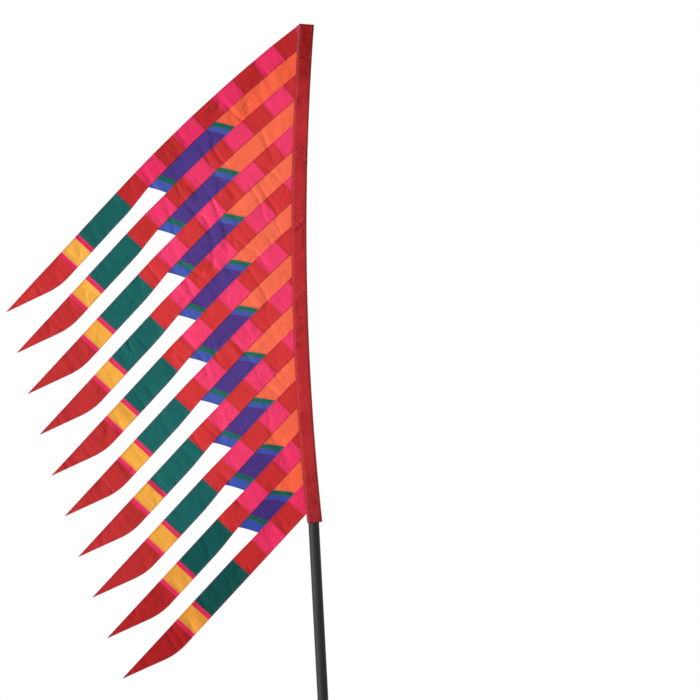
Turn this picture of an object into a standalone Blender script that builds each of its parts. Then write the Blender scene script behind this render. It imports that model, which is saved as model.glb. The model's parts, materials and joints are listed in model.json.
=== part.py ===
"""Feather flag on a bowed pole, which turns on a ground spike and lifts off it.

Metres, +Z up. The origin is on the pole's axis at ground level, the cloth lies towards -X in
the XZ plane, and what is below zero is pushed into the ground.
"""

import math

import bmesh
import bpy
from mathutils import Vector

# Sleeve, the pocket that the pole runs up
SLEEVE_FOOT = 0.980
SLEEVE_HEIGHT = 1.461
SLEEVE_EASE_WIDE = 0.0103
SLEEVE_EASE_DEEP = 0.0040
SLEEVE_WALL = 0.0010
SLEEVE_SET = 0.0022
SLEEVE_LEAN = 0.0795
SLEEVE_BOW = 0.1319
TOP_PATCH = 0.0025

# Streamers: patchwork strips that run out from the sleeve and end in free tails
STREAMERS = 10
STREAMER_WIDTH = 0.060
CLOTH = 0.0012
SPACING_GRADE = 0.0010
LOWEST_CORNER_UP = 0.030
SLOPE_AT_SLEEVE = 36.6
SLOPE_STEP = 0.8
SLOPE_AT_TAIL = 44.3
BEND_RUN = 0.85
BEND_RUN_STEP = 0.10
BEND_RUN_LEAST = 0.05
HINGE_REACH = 0.652
HINGE_REACH_STEP = 0.0408
TAIL_REACH = 1.205
TAIL_REACH_STEP = 0.0474
TIP_CUT = 0.158
TIP_EASE = 0.040
TIP_BLUNT = 0.0015
INFILL_REACH = 0.515
INFILL_REACH_STEP = 0.0400

# Pole: three tubes joined by plugs
POLE_OD = 0.032
POLE_WALL = 0.0020
MIDDLE_OD = 0.026
MIDDLE_WALL = 0.0018
TIP_OD = 0.020
TIP_END_OD = 0.014
TIP_WALL = 0.0015
LOWER_JOINT_UP_SLEEVE = 0.075
UPPER_JOINT_UP_SLEEVE = 0.780
PLUG_DEPTH = 0.070
PLUG_COLLAR = 0.004
TIP_CAP = 0.009
POLE_LEAN = 0.0901
POLE_BOW = 0.1398
POLE_EASING = 0.06

# Ground spike and the spindle that turns on it
SPIKE_DEPTH = 0.500
SPIKE_POINT = 0.070
SPIKE_OD = 0.021
SPIKE_COLLAR_OD = 0.034
SPIKE_COLLAR = 0.008
PLATE_LENGTH = 0.120
PLATE_WIDTH = 0.070
PLATE = 0.005
PLATE_CORNER = 0.012
WASHER = 0.002
FLANGE = 0.004
FLANGE_LIP = 0.0035
SPINDLE_LENGTH = 0.190
SPINDLE_WALL = 0.0025
BUSH_WALL = 0.0016
BUSH_LENGTH = 0.020
CLIP = 0.0012
CLIP_BITE = 0.0010
CLIP_GAP = 70.0
AXLE_END = 0.004
SPINDLE_CAP = 0.005
SPINDLE_PLUG = 0.006
RING_ROOM = 0.0022
RING_HEIGHTS = (0.035, 0.150)
COLLAR_WALL = 0.0022
COLLAR_HEIGHT = 0.025
COLLAR_LIP = 0.003

# Clearances
SEAM_GAP = 0.0003
SEAT_GAP = 0.0003
RUNNING_GAP = 0.0003

ROUND_SIDES = 32
ROD_SIDES = 24
RING_SIDES = 8
STRIP_STEPS = 8
STATIONS = 14
STATION_SPREAD = 1.5
NEAR = 0.002
WALK = 0.010

SLEEVE_TOP = SLEEVE_FOOT + SLEEVE_HEIGHT
SLEEVE_HALF_WIDE = POLE_OD / 2 + SLEEVE_EASE_WIDE / 2
SLEEVE_HALF_DEEP = POLE_OD / 2 + SLEEVE_EASE_DEEP / 2

CRIMSON = (0.445, 0.026, 0.032)
RED = (0.514, 0.031, 0.031)
ORANGE = (0.896, 0.130, 0.061)
GREEN = (0.012, 0.114, 0.102)
CHARCOAL = (0.033, 0.033, 0.034)
STEEL = (0.42, 0.43, 0.44)
NYLON = (0.78, 0.77, 0.73)
RUBBER = (0.020, 0.020, 0.021)


def clear_scene():
    """Remove every object that the scene starts with."""
    for obj in list(bpy.data.objects):
        bpy.data.objects.remove(obj, do_unlink=True)


def finish(name, colour, roughness, metallic):
    """A Principled material of one colour."""
    material = bpy.data.materials.new(name)
    material.use_nodes = True
    shader = material.node_tree.nodes["Principled BSDF"]
    shader.inputs["Base Color"].default_value = (*colour, 1.0)
    shader.inputs["Roughness"].default_value = roughness
    shader.inputs["Metallic"].default_value = metallic
    return material


def add_object(name, bm, parent, look, sharp=30.0):
    """Turn a bmesh into an object of its own under its parent, with outward faces."""
    bmesh.ops.recalc_face_normals(bm, faces=bm.faces)
    mesh = bpy.data.meshes.new(name)
    bm.to_mesh(mesh)
    bm.free()
    mesh.shade_smooth()
    mesh.set_sharp_from_angle(angle=math.radians(sharp))
    mesh.materials.append(finish(name, *look))
    obj = bpy.data.objects.new(name, mesh)
    bpy.context.collection.objects.link(obj)
    obj.parent = parent
    return obj


def add_empty(name, location):
    """An empty on a joint's axis, which carries the pieces that move together."""
    empty = bpy.data.objects.new(name, None)
    empty.location = location
    bpy.context.collection.objects.link(empty)
    return empty


# Lines that the pieces follow


def straight_line(height):
    """Sideways place of the straight pole's centre."""
    return 0.0


def sleeve_line(height):
    """Sideways place of the sleeve's centre: it leaves the pole at a slant and bows away."""
    up = max((height - SLEEVE_FOOT) / SLEEVE_HEIGHT, 0.0)
    return SLEEVE_SET - SLEEVE_LEAN * up + SLEEVE_BOW * up * up


def pole_line(height):
    """Sideways place of the pole's centre, which eases from straight into the sleeve's bow."""
    up = max((height - SLEEVE_FOOT) / SLEEVE_HEIGHT, 0.0)
    eased = up - POLE_EASING * (1 - math.exp(-up / POLE_EASING))
    return POLE_BOW * up * up - POLE_LEAN * eased


def sleeve_edge(height):
    """Where cloth meets the sleeve at this height."""
    return sleeve_line(height) - SLEEVE_HALF_WIDE - SEAM_GAP


def ramp(value):
    """Smooth step from 0 to 1."""
    value = min(max(value, 0.0), 1.0)
    return value * value * (3 - 2 * value)


def slope(index, along):
    """Angle below level of a streamer this far out along its upper edge."""
    start = math.radians(SLOPE_AT_SLEEVE + SLOPE_STEP * index)
    run = max(BEND_RUN - BEND_RUN_STEP * index, BEND_RUN_LEAST)
    return start + (math.radians(SLOPE_AT_TAIL) - start) * ramp(along / run)


def streamer_root(index):
    """Where a streamer's upper edge meets the sleeve."""
    last = STREAMERS - 1
    foot_slope = math.radians(SLOPE_AT_SLEEVE + SLOPE_STEP * last)
    lowest = SLEEVE_FOOT + LOWEST_CORNER_UP + STREAMER_WIDTH / math.cos(foot_slope)
    share = index / last
    height = SLEEVE_TOP + (lowest - SLEEVE_TOP) * share
    height += SPACING_GRADE * index * (last - index) / 2
    return sleeve_edge(height), height



def on_streamer(index, along, across=0.0):
    """Point this far out along a streamer's upper edge, and this far over towards its lower."""
    x, z = streamer_root(index)
    steps = max(1, math.ceil(abs(along) / WALK))
    stride = along / steps
    for step in range(steps):
        angle = slope(index, (step + 0.5) * stride)
        x -= math.cos(angle) * stride
        z -= math.sin(angle) * stride
    angle = slope(index, along)
    return Vector((x + math.sin(angle) * across, 0.0, z - math.cos(angle) * across))


def meets_sleeve(index, across):
    """How far along a streamer a line this far over from its upper edge meets the sleeve."""
    low, high = -3 * STREAMER_WIDTH, STREAMER_WIDTH
    for _ in range(40):
        middle = (low + high) / 2
        point = on_streamer(index, middle, across)
        if point.x > sleeve_edge(point.z):
            low = middle
        else:
            high = middle
    return high


def line_from_sleeve(index, across, reach):
    """Points of such a line, from the sleeve out to a reach along the streamer."""
    start = meets_sleeve(index, across)
    spots = [start + (reach - start) * step / STRIP_STEPS for step in range(STRIP_STEPS + 1)]
    return [on_streamer(index, spot, across) for spot in spots]


# Cloth


def cloth_panel(name, upper, lower, parent, look, hinge=None):
    """A flat panel between two edges of as many points, given its thickness.

    With a hinge, the panel's first end is rounded about it and the object's origin is there.
    """
    origin = hinge or Vector((0.0, 0.0, 0.0))
    bm = bmesh.new()
    fronts = []
    backs = []
    for side, depth in ((fronts, -CLOTH / 2), (backs, CLOTH / 2)):
        for edge in (upper, lower):
            side.append([bm.verts.new(point - origin + Vector((0, depth, 0))) for point in edge])
    for step in range(len(upper) - 1):
        for first, second in ((fronts[0], fronts[1]), (backs[1], backs[0]),
                              (backs[0], fronts[0]), (fronts[1], backs[1])):
            bm.faces.new((first[step], first[step + 1], second[step + 1], second[step]))
    for end in (0, -1):
        bm.faces.new((fronts[0][end], fronts[1][end], backs[1][end], backs[0][end]))
    if hinge:
        root = [bm.edges.get((side[0][0], side[1][0])) for side in (fronts, backs)]
        bmesh.ops.bevel(bm, geom=root, offset=CLOTH * 0.49, segments=3, profile=0.5,
                        affect="EDGES")
    panel = add_object(name, bm, parent, look)
    panel.location = origin - parent.location
    return panel


def streamer_field(index, mast):
    """The sewn-in part of a streamer, from the sleeve to where its tail swings."""
    reach = HINGE_REACH - HINGE_REACH_STEP * index
    upper = line_from_sleeve(index, SEAM_GAP / 2, reach)
    lower = line_from_sleeve(index, STREAMER_WIDTH - SEAM_GAP / 2, reach)
    return cloth_panel(f"streamer_{index + 1}", upper, lower, mast, (RED, 0.6, 0.0))


def infill_bar(index, mast):
    """The bar that fills the space between a streamer and the next one down."""
    upper_reach = HINGE_REACH - HINGE_REACH_STEP * index
    lower_reach = INFILL_REACH - INFILL_REACH_STEP * index
    upper = line_from_sleeve(index, STREAMER_WIDTH + SEAM_GAP / 2, upper_reach)
    lower = line_from_sleeve(index + 1, -SEAM_GAP / 2, lower_reach)
    return cloth_panel(f"infill_{index + 1}", upper, lower, mast, (ORANGE, 0.6, 0.0))


def tail_lower_edge():
    """Pairs of distance back from the tip and width, round the cut to the point."""
    cut = math.atan2(STREAMER_WIDTH, TIP_CUT)
    start = Vector((TIP_CUT + TIP_EASE, STREAMER_WIDTH))
    corner = Vector((TIP_CUT, STREAMER_WIDTH))
    finish_at = corner - TIP_EASE * Vector((math.cos(cut), math.sin(cut)))
    pairs = []
    for step in range(5):
        share = step / 4
        pairs.append(start.lerp(corner, share).lerp(corner.lerp(finish_at, share), share))
    return pairs + [Vector((0.0, TIP_BLUNT))]


def tail(index, mast):
    """A streamer's free end, with its knife-cut point, hung on the seam across its root."""
    root = HINGE_REACH - HINGE_REACH_STEP * index + SEAM_GAP
    tip = TAIL_REACH - TAIL_REACH_STEP * index
    cut = tail_lower_edge()
    first_cut = tip - cut[0][0]
    spots = [(root + (first_cut - root) * step / 4, STREAMER_WIDTH) for step in range(4)]
    spots += [(tip - back, width) for back, width in cut]
    upper = [on_streamer(index, along, SEAM_GAP / 2) for along, _ in spots]
    lower = [on_streamer(index, along, max(width - SEAM_GAP / 2, TIP_BLUNT)) for along, width in spots]
    middle = (upper[0] + lower[0]) / 2
    hinge = middle + (on_streamer(index, root + CLOTH / 2) - on_streamer(index, root))
    return cloth_panel(f"tail_{index + 1}", upper, lower, mast, (GREEN, 0.6, 0.0), hinge)


# Turned and swept pieces


def swept(name, rings, line, parent, look, sides=ROUND_SIDES, opening=0.0, sharp=30.0):
    """A body of rings along a line, each given as height, half width and half depth.

    The rings run up the outside and back down the inside, so that the last meets the first. A
    ring of no width closes that end. An opening, in degrees, leaves the rings short of a turn.
    """
    bm = bmesh.new()
    turn = math.radians(360.0 - opening)
    count = sides + 1 if opening else sides
    loops = []
    for height, half_wide, half_deep in rings:
        rise = line(height + WALK) - line(height - WALK)
        lean = math.atan2(rise, 2 * WALK)
        centre = Vector((line(height), 0.0, height))
        wide = Vector((math.cos(lean), 0.0, -math.sin(lean)))
        if half_wide <= 0:
            loops.append([bm.verts.new(centre)])
            continue
        loop = []
        for step in range(count):
            angle = math.radians(opening / 2) + turn * step / sides
            reach = wide * (half_wide * math.cos(angle))
            loop.append(bm.verts.new(centre + reach + Vector((0, half_deep * math.sin(angle), 0))))
        loops.append(loop)
    solid_ends = len(loops[0]) == 1
    pairs = list(zip(loops, loops[1:]))
    if not solid_ends:
        pairs.append((loops[-1], loops[0]))
    for first, second in pairs:
        bridge(bm, first, second, sides, closed=not opening)
    if opening:
        for end in (0, -1):
            bm.faces.new([loop[end] for loop in loops])
    return add_object(name, bm, parent, look, sharp)


def bridge(bm, first, second, sides, closed):
    """Faces between two rings, either of which may be a single point."""
    for step in range(sides):
        after = (step + 1) % sides if closed else step + 1
        corners = [first[step % len(first)], first[after % len(first)],
                   second[after % len(second)], second[step % len(second)]]
        bm.faces.new(list(dict.fromkeys(corners)))


def turned(name, profile, parent, look, line=straight_line, **options):
    """A round body whose profile gives height and radius."""
    return swept(name, [(h, r, r) for h, r in profile], line, parent, look, **options)


def heights(low, high):
    """Heights from low to high or back, by way of the stations that all swept pieces share.

    The stations stand closer together at the sleeve's foot, where the pole bends most.
    """
    shares = [(step / STATIONS) ** STATION_SPREAD for step in range(STATIONS)]
    stations = [SLEEVE_FOOT + SLEEVE_HEIGHT * share for share in shares]
    between = [h for h in stations if min(low, high) + NEAR < h < max(low, high) - NEAR]
    return [low] + (between if low < high else between[::-1]) + [high]


def tube(name, low, high, radius, wall, parent, look):
    """A tube up the pole's line, whose radius is a function of the height."""
    outside = [(h, radius(h)) for h in heights(low, high)]
    inside = [(h, radius(h) - wall) for h in heights(high, low)]
    return turned(name, outside + inside, parent, look, line=pole_line)


def pole(mast, foot):
    """The three tubes from this height up, the plugs that join them and the cap on the tip."""
    paint = (CHARCOAL, 0.45, 0.0)
    lower_top = SLEEVE_FOOT + LOWER_JOINT_UP_SLEEVE
    middle_foot = lower_top + PLUG_COLLAR + 2 * SEAT_GAP
    middle_top = SLEEVE_FOOT + UPPER_JOINT_UP_SLEEVE
    tip_foot = middle_top + PLUG_COLLAR + 2 * SEAT_GAP
    cap_top = SLEEVE_TOP - TOP_PATCH - SEAT_GAP
    tip_top = cap_top - TIP_CAP - SEAT_GAP

    def tip_radius(height):
        share = (height - tip_foot) / (tip_top - tip_foot)
        return (TIP_OD + (TIP_END_OD - TIP_OD) * share) / 2

    tube("pole_lower", foot, lower_top, lambda h: POLE_OD / 2, POLE_WALL, mast, paint)
    tube("pole_middle", middle_foot, middle_top, lambda h: MIDDLE_OD / 2, MIDDLE_WALL, mast, paint)
    tube("pole_tip", tip_foot, tip_top, tip_radius, TIP_WALL, mast, paint)
    lower_bore = POLE_OD / 2 - POLE_WALL
    middle_bore = MIDDLE_OD / 2 - MIDDLE_WALL
    tip_bore = TIP_OD / 2 - TIP_WALL
    joint_plug("joint_plug_lower", lower_top, lower_bore, middle_bore, MIDDLE_OD / 2, mast)
    joint_plug("joint_plug_upper", middle_top, middle_bore, tip_radius(tip_foot + PLUG_DEPTH)
               - TIP_WALL, min(tip_bore + TIP_WALL, MIDDLE_OD / 2), mast)
    end = tip_radius(tip_top)
    plug = end - TIP_WALL - SEAT_GAP
    inside = tip_top - TIP_CAP
    brim = cap_top - TIP_CAP
    dome = [(cap_top - TIP_CAP * (1 - math.sin(a)), end * math.cos(a))
            for a in (0.0, 0.45, 0.85, 1.2)]
    turned("pole_tip_cap", [(inside, 0), (inside, plug), (brim, plug)] + dome + [(cap_top, 0)],
           mast, (RUBBER, 0.7, 0.0), line=pole_line, sides=ROD_SIDES)


def joint_plug(name, seat, lower_bore, upper_bore, collar, mast):
    """A plug that fits into the tube below, carries the tube above and has a collar between."""
    low = seat - PLUG_DEPTH
    top = seat + SEAT_GAP + PLUG_COLLAR
    high = top + PLUG_DEPTH
    below = lower_bore - SEAT_GAP
    above = upper_bore - SEAT_GAP
    shoulder = seat + SEAT_GAP
    profile = [(low, 0), (low, below)]
    profile += [(h, below) for h in heights(low, shoulder)[1:]]
    profile += [(shoulder, collar), (top, collar), (top, above), (high, above), (high, 0)]
    turned(name, profile, mast, (STEEL, 0.35, 1.0), line=pole_line, sides=ROD_SIDES)


def sleeve(mast):
    """The pocket round the pole, and the patch that closes its top over the pole's tip."""
    up = heights(SLEEVE_FOOT, SLEEVE_TOP)
    outside = [(h, SLEEVE_HALF_WIDE, SLEEVE_HALF_DEEP) for h in up]
    inner_wide = SLEEVE_HALF_WIDE - SLEEVE_WALL
    inner_deep = SLEEVE_HALF_DEEP - SLEEVE_WALL
    inside = [(h, inner_wide, inner_deep) for h in reversed(up)]
    cloth = (CRIMSON, 0.65, 0.0)
    swept("sleeve", outside + inside, sleeve_line, mast, cloth)
    patch_foot = SLEEVE_TOP - TOP_PATCH
    wide = inner_wide - SEAM_GAP
    deep = inner_deep - SEAM_GAP
    rings = [(patch_foot, 0, 0), (patch_foot, wide, deep), (SLEEVE_TOP, wide, deep), (SLEEVE_TOP, 0, 0)]
    swept("sleeve_top_patch", rings, sleeve_line, mast, cloth)


# Ground spike


def cut_hole(body, radius):
    """Cut a round hole down the pole's axis through a body."""
    bm = bmesh.new()
    bmesh.ops.create_cone(bm, cap_ends=True, segments=ROUND_SIDES, radius1=radius,
                          radius2=radius, depth=1.0)
    mesh = bpy.data.meshes.new(f"{body.name}_cutter")
    bm.to_mesh(mesh)
    bm.free()
    cutter = bpy.data.objects.new(f"{body.name}_cutter", mesh)
    bpy.context.collection.objects.link(cutter)
    cutter.hide_render = True
    cutter.display_type = "WIRE"
    modifier = body.modifiers.new("hole", "BOOLEAN")
    modifier.operation = "DIFFERENCE"
    modifier.solver = "EXACT"
    modifier.object = cutter


def foot_plate(ground):
    """The tread plate, which is pushed down to the ground and stops the spike there."""
    bm = bmesh.new()
    bmesh.ops.create_cube(bm, size=1.0)
    bmesh.ops.scale(bm, vec=(PLATE_LENGTH, PLATE_WIDTH, PLATE), verts=bm.verts)
    bmesh.ops.translate(bm, vec=(0, 0, PLATE / 2), verts=bm.verts)
    upright = [e for e in bm.edges if abs(e.verts[0].co.z - e.verts[1].co.z) > PLATE / 2]
    bmesh.ops.bevel(bm, geom=upright, offset=PLATE_CORNER, segments=4, profile=0.5,
                    affect="EDGES")
    plate = add_object("foot_plate", bm, ground, (STEEL, 0.5, 1.0))
    cut_hole(plate, SPIKE_OD / 2 + SEAT_GAP)


def spike_and_spindle(ground, spindle):
    """The spike with its axle, the spindle that turns on it and what fits between them.

    Returns the height of the flange that the pole stands on.
    """
    steel = (STEEL, 0.4, 1.0)
    nylon = (NYLON, 0.5, 0.0)
    bore = POLE_OD / 2 - POLE_WALL
    spindle_radius = bore - RING_ROOM
    spindle_bore = spindle_radius - SPINDLE_WALL
    bush_outer = spindle_bore - RUNNING_GAP
    axle = bush_outer - BUSH_WALL - RUNNING_GAP
    spike = SPIKE_OD / 2
    collar_foot = PLATE + SEAT_GAP
    collar_top = collar_foot + SPIKE_COLLAR
    washer_foot = collar_top + SEAT_GAP
    spindle_foot = washer_foot + WASHER + RUNNING_GAP
    spindle_top = spindle_foot + SPINDLE_LENGTH
    plug_foot = spindle_top - SPINDLE_PLUG
    clip_top = plug_foot - 2 * AXLE_END
    clip_foot = clip_top - CLIP
    axle_top = clip_top + AXLE_END
    groove = axle - CLIP_BITE
    flange = POLE_OD / 2 + FLANGE_LIP
    flange_top = spindle_foot + FLANGE

    turned("ground_spike", [
        (-SPIKE_DEPTH, 0), (-SPIKE_DEPTH + SPIKE_POINT, spike), (collar_foot, spike),
        (collar_foot, SPIKE_COLLAR_OD / 2), (collar_top, SPIKE_COLLAR_OD / 2), (collar_top, axle),
        (clip_foot - SEAT_GAP, axle), (clip_foot - SEAT_GAP, groove),
        (clip_top + SEAT_GAP, groove), (clip_top + SEAT_GAP, axle), (axle_top, axle),
        (axle_top, 0)], ground, steel, sides=ROD_SIDES)
    ring("thrust_washer", washer_foot, WASHER, axle + RUNNING_GAP, SPIKE_COLLAR_OD / 2, ground, nylon)
    ring("retaining_clip", clip_foot, CLIP, groove + SEAT_GAP, bush_outer, ground, steel,
         opening=CLIP_GAP)

    turned("spindle", [
        (spindle_foot, flange), (flange_top, flange), (flange_top, spindle_radius),
        (spindle_top, spindle_radius), (spindle_top, spindle_bore), (spindle_foot, spindle_bore)],
        spindle, steel)
    upper_bush_foot = clip_foot - RUNNING_GAP - BUSH_LENGTH
    for name, foot in (("lower_bush", spindle_foot), ("upper_bush", upper_bush_foot)):
        ring(name, foot, BUSH_LENGTH, axle + RUNNING_GAP, bush_outer, spindle, nylon)
    cap_foot = spindle_top + SEAT_GAP
    plug = spindle_bore - SEAT_GAP
    turned("spindle_cap", [
        (plug_foot, 0), (plug_foot, plug), (cap_foot, plug), (cap_foot, spindle_radius),
        (cap_foot + SPINDLE_CAP / 2, spindle_radius), (cap_foot + SPINDLE_CAP, spindle_radius / 2),
        (cap_foot + SPINDLE_CAP, 0)], spindle, (RUBBER, 0.6, 0.0), sides=ROD_SIDES)
    thick = (RING_ROOM - 2 * RUNNING_GAP) / 2
    middle = spindle_radius + RUNNING_GAP + thick
    for name, height in zip(("grip_ring_lower", "grip_ring_upper"), RING_HEIGHTS):
        circle = [math.tau * step / RING_SIDES for step in range(RING_SIDES)]
        profile = [(flange_top + height + thick * math.sin(a), middle + thick * math.cos(a))
                   for a in circle]
        turned(name, profile, spindle, (RUBBER, 0.55, 0.0), sharp=60.0)
    return flange_top


def foot_collar(mast, flange_top):
    """The collar that the pole's foot stands in. Returns the height of that foot."""
    bore = POLE_OD / 2 - POLE_WALL
    collar_bottom = flange_top + SEAT_GAP
    inner = POLE_OD / 2 + SEAT_GAP
    outer = inner + COLLAR_WALL
    lip_top = collar_bottom + COLLAR_LIP
    turned("pole_foot_collar", [
        (collar_bottom, bore), (collar_bottom, outer), (collar_bottom + COLLAR_HEIGHT, outer),
        (collar_bottom + COLLAR_HEIGHT, inner), (lip_top, inner), (lip_top, bore)],
        mast, (RUBBER, 0.6, 0.0))
    return lip_top + SEAT_GAP


def ring(name, foot, height, inner, outer, parent, look, **options):
    """A flat ring of square section."""
    profile = [(foot, outer), (foot + height, outer), (foot + height, inner), (foot, inner)]
    turned(name, profile, parent, look, **options)


def main():
    """Build the spike, the spindle and the mast with its flag."""
    clear_scene()
    ground = add_empty("ground_axis", (0, 0, 0))
    spindle = add_empty("swivel_axis", (0, 0, 0))
    mast = add_empty("lift_axis", (0, 0, 0))
    foot_plate(ground)
    flange_top = spike_and_spindle(ground, spindle)
    pole(mast, foot_collar(mast, flange_top))
    sleeve(mast)
    for index in range(STREAMERS):
        streamer_field(index, mast)
        tail(index, mast)
    for index in range(STREAMERS - 1):
        infill_bar(index, mast)


main()
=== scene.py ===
"""Feather flag with its pole: the cloth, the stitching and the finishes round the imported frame.

Metres, +Z up. The cloth lies towards -X in the XZ plane and its face looks along -Y.
"""

import json
import logging
import math
from collections.abc import Iterable, Sequence
from dataclasses import dataclass, field
from enum import Enum
from functools import cached_property, partialmethod
from typing import Any

import bpy
import numpy as np
from mathutils import Matrix, Vector

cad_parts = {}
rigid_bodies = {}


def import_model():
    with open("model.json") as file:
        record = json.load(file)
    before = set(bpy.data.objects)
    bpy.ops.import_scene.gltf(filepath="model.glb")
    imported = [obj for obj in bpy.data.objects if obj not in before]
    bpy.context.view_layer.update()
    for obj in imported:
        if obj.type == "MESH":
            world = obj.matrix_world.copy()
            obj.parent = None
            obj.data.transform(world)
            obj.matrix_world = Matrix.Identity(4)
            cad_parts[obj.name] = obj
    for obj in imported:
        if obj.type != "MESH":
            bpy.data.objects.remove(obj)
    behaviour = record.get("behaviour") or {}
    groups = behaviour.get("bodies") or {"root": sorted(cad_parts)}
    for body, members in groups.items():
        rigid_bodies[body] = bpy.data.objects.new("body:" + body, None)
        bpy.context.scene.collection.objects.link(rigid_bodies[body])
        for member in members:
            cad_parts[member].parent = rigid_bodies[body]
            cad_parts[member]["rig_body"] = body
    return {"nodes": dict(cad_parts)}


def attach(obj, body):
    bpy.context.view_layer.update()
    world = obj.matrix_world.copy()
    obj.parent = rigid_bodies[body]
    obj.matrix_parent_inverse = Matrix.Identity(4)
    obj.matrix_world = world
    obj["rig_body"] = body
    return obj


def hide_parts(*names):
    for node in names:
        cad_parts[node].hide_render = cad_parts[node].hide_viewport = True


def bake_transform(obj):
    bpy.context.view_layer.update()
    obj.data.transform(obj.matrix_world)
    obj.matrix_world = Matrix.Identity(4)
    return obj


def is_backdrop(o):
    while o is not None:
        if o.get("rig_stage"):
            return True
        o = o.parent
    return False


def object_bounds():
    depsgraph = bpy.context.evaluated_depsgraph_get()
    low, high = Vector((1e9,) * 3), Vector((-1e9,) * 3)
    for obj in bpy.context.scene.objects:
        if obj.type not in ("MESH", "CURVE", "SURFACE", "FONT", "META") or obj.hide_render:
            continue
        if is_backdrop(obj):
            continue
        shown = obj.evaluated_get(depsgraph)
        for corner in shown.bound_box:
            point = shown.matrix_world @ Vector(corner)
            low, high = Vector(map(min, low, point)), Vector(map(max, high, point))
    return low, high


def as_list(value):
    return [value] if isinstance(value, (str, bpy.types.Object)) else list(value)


LOG = logging.getLogger("feather_flag")
CLOTH_GLOSS = 0.004
DARKEST_DYE = 0.002
# Shares of the strips over which painted shade deepens the top and foot tones.
TOP_SHADE_SHARE = 0.20
FOOT_SHADE_SHARE = 0.33
SLIGHT = 1e-9
FINISHED = "_finished"
POLE = ("pole_lower", "pole_middle", "pole_tip")
Array = np.ndarray
Colour = tuple[float, float, float]


def smooth(value: Array | float) -> Array:
    """Smooth step from 0 to 1."""
    value = np.clip(value, 0.0, 1.0)
    return value * value * (3 - 2 * value)


def linear(red: int, green: int, blue: int) -> Colour:
    """A screen colour of 0 to 255 a channel as the light it stands for.

    Args:
        red: Red channel.
        green: Green channel.
        blue: Blue channel.

    Returns:
        The three channels in linear light, from 0 to 1.
    """
    shares = (channel / 255 for channel in (red, green, blue))
    return tuple(s / 12.92 if s <= 0.04045 else ((s + 0.055) / 1.055) ** 2.4 for s in shares)


def worn_by(light: float, seen: Sequence[float]) -> Colour:
    """The colour that cloth has to be to look like this.

    Args:
        light: How much light the studio throws on the flag.
        seen: The colour that it has to have there, in linear light.

    Returns:
        The colour less the cloth's pale gloss, for one unit of light.
    """
    return tuple(max(channel / light - CLOTH_GLOSS, DARKEST_DYE) for channel in seen)


def added(name: str, data: bpy.types.ID) -> bpy.types.Object:
    """A new object of this data, in the scene."""
    obj = bpy.data.objects.new(name, data)
    bpy.context.collection.objects.link(obj)
    return obj


class Dye(Enum):
    """The cloth's dyes as seen in the top strip, the middle ones and the foot; top and foot hold
    painted shade.
    """

    RED = (linear(184, 43, 44), linear(207, 55, 56), linear(188, 44, 45))
    TIP_RED = (linear(196, 50, 53), linear(184, 48, 49), linear(166, 33, 35))
    PINK = (linear(226, 49, 96), linear(239, 63, 108), linear(227, 50, 96))
    BAND_PINK = (linear(222, 44, 92), linear(230, 50, 98), linear(220, 44, 88))
    ORANGE = (linear(242, 97, 66), linear(243, 108, 78), linear(241, 98, 66))
    GREEN = (linear(26, 92, 89), linear(30, 98, 95), linear(18, 76, 72))
    YELLOW = (linear(239, 171, 73), linear(237, 167, 68), linear(224, 151, 60))
    PURPLE = (linear(75, 56, 130), linear(79, 58, 131), linear(67, 48, 118))
    BLUE = (linear(64, 89, 168), linear(66, 89, 170), linear(53, 76, 161))
    BAR_GREEN = (linear(24, 100, 86), linear(34, 106, 94), linear(22, 92, 80))

    def shade(self, strip: float, last: float, light: float) -> Colour:
        """The dye's colour in one strip, with painted shade that deepens the topmost and the
        lowest ones.

        Args:
            strip: The strip's place, from 0 at the top.
            last: The lowest strip's place.
            light: How much light the studio throws on the flag.

        Returns:
            The colour, with its painted shade.
        """
        # Painted shade: the top and foot tones are deeper where the light falls off towards the
        # flag's ends.
        first = float(smooth(1 - strip / (TOP_SHADE_SHARE * last)))
        final = float(smooth(1 - (last - strip) / (FOOT_SHADE_SHARE * last)))
        shares = (first, 1 - first - final, final)
        return worn_by(light, [sum(share * tone[channel] for share, tone in zip(
            shares, self.value)) for channel in range(3)])


# Node trees


class Wire:
    """A number or vector out of a node. Python's operators put Math nodes after it."""

    def __init__(self, graph: "Graph", socket: bpy.types.NodeSocket) -> None:
        """Hold the socket and the tree that it belongs to."""
        self.graph = graph
        self.socket = socket

    def maths(self, operation: str, *others: "Wire | float") -> "Wire":
        """A Math node of this and the others.

        Args:
            operation: The Math node's operation.
            others: Its inputs after the first, in order.

        Returns:
            The node's output.
        """
        return self.graph.node("ShaderNodeMath", {"operation": operation},
                               dict(enumerate((self, *others))))

    __add__ = __radd__ = partialmethod(maths, "ADD")
    __sub__ = partialmethod(maths, "SUBTRACT")
    __mul__ = __rmul__ = partialmethod(maths, "MULTIPLY")
    __truediv__ = partialmethod(maths, "DIVIDE")
    __pow__ = partialmethod(maths, "POWER")
    sine = partialmethod(maths, "SINE")
    size = partialmethod(maths, "ABSOLUTE")

    def __rsub__(self, other: float) -> "Wire":
        """The other less this."""
        return self.graph.node("ShaderNodeMath", {"operation": "SUBTRACT"}, {0: other, 1: self})

    def clamped(self) -> "Wire":
        """This, kept from 0 to 1."""
        return self.maths("MAXIMUM", 0.0).maths("MINIMUM", 1.0)


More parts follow.
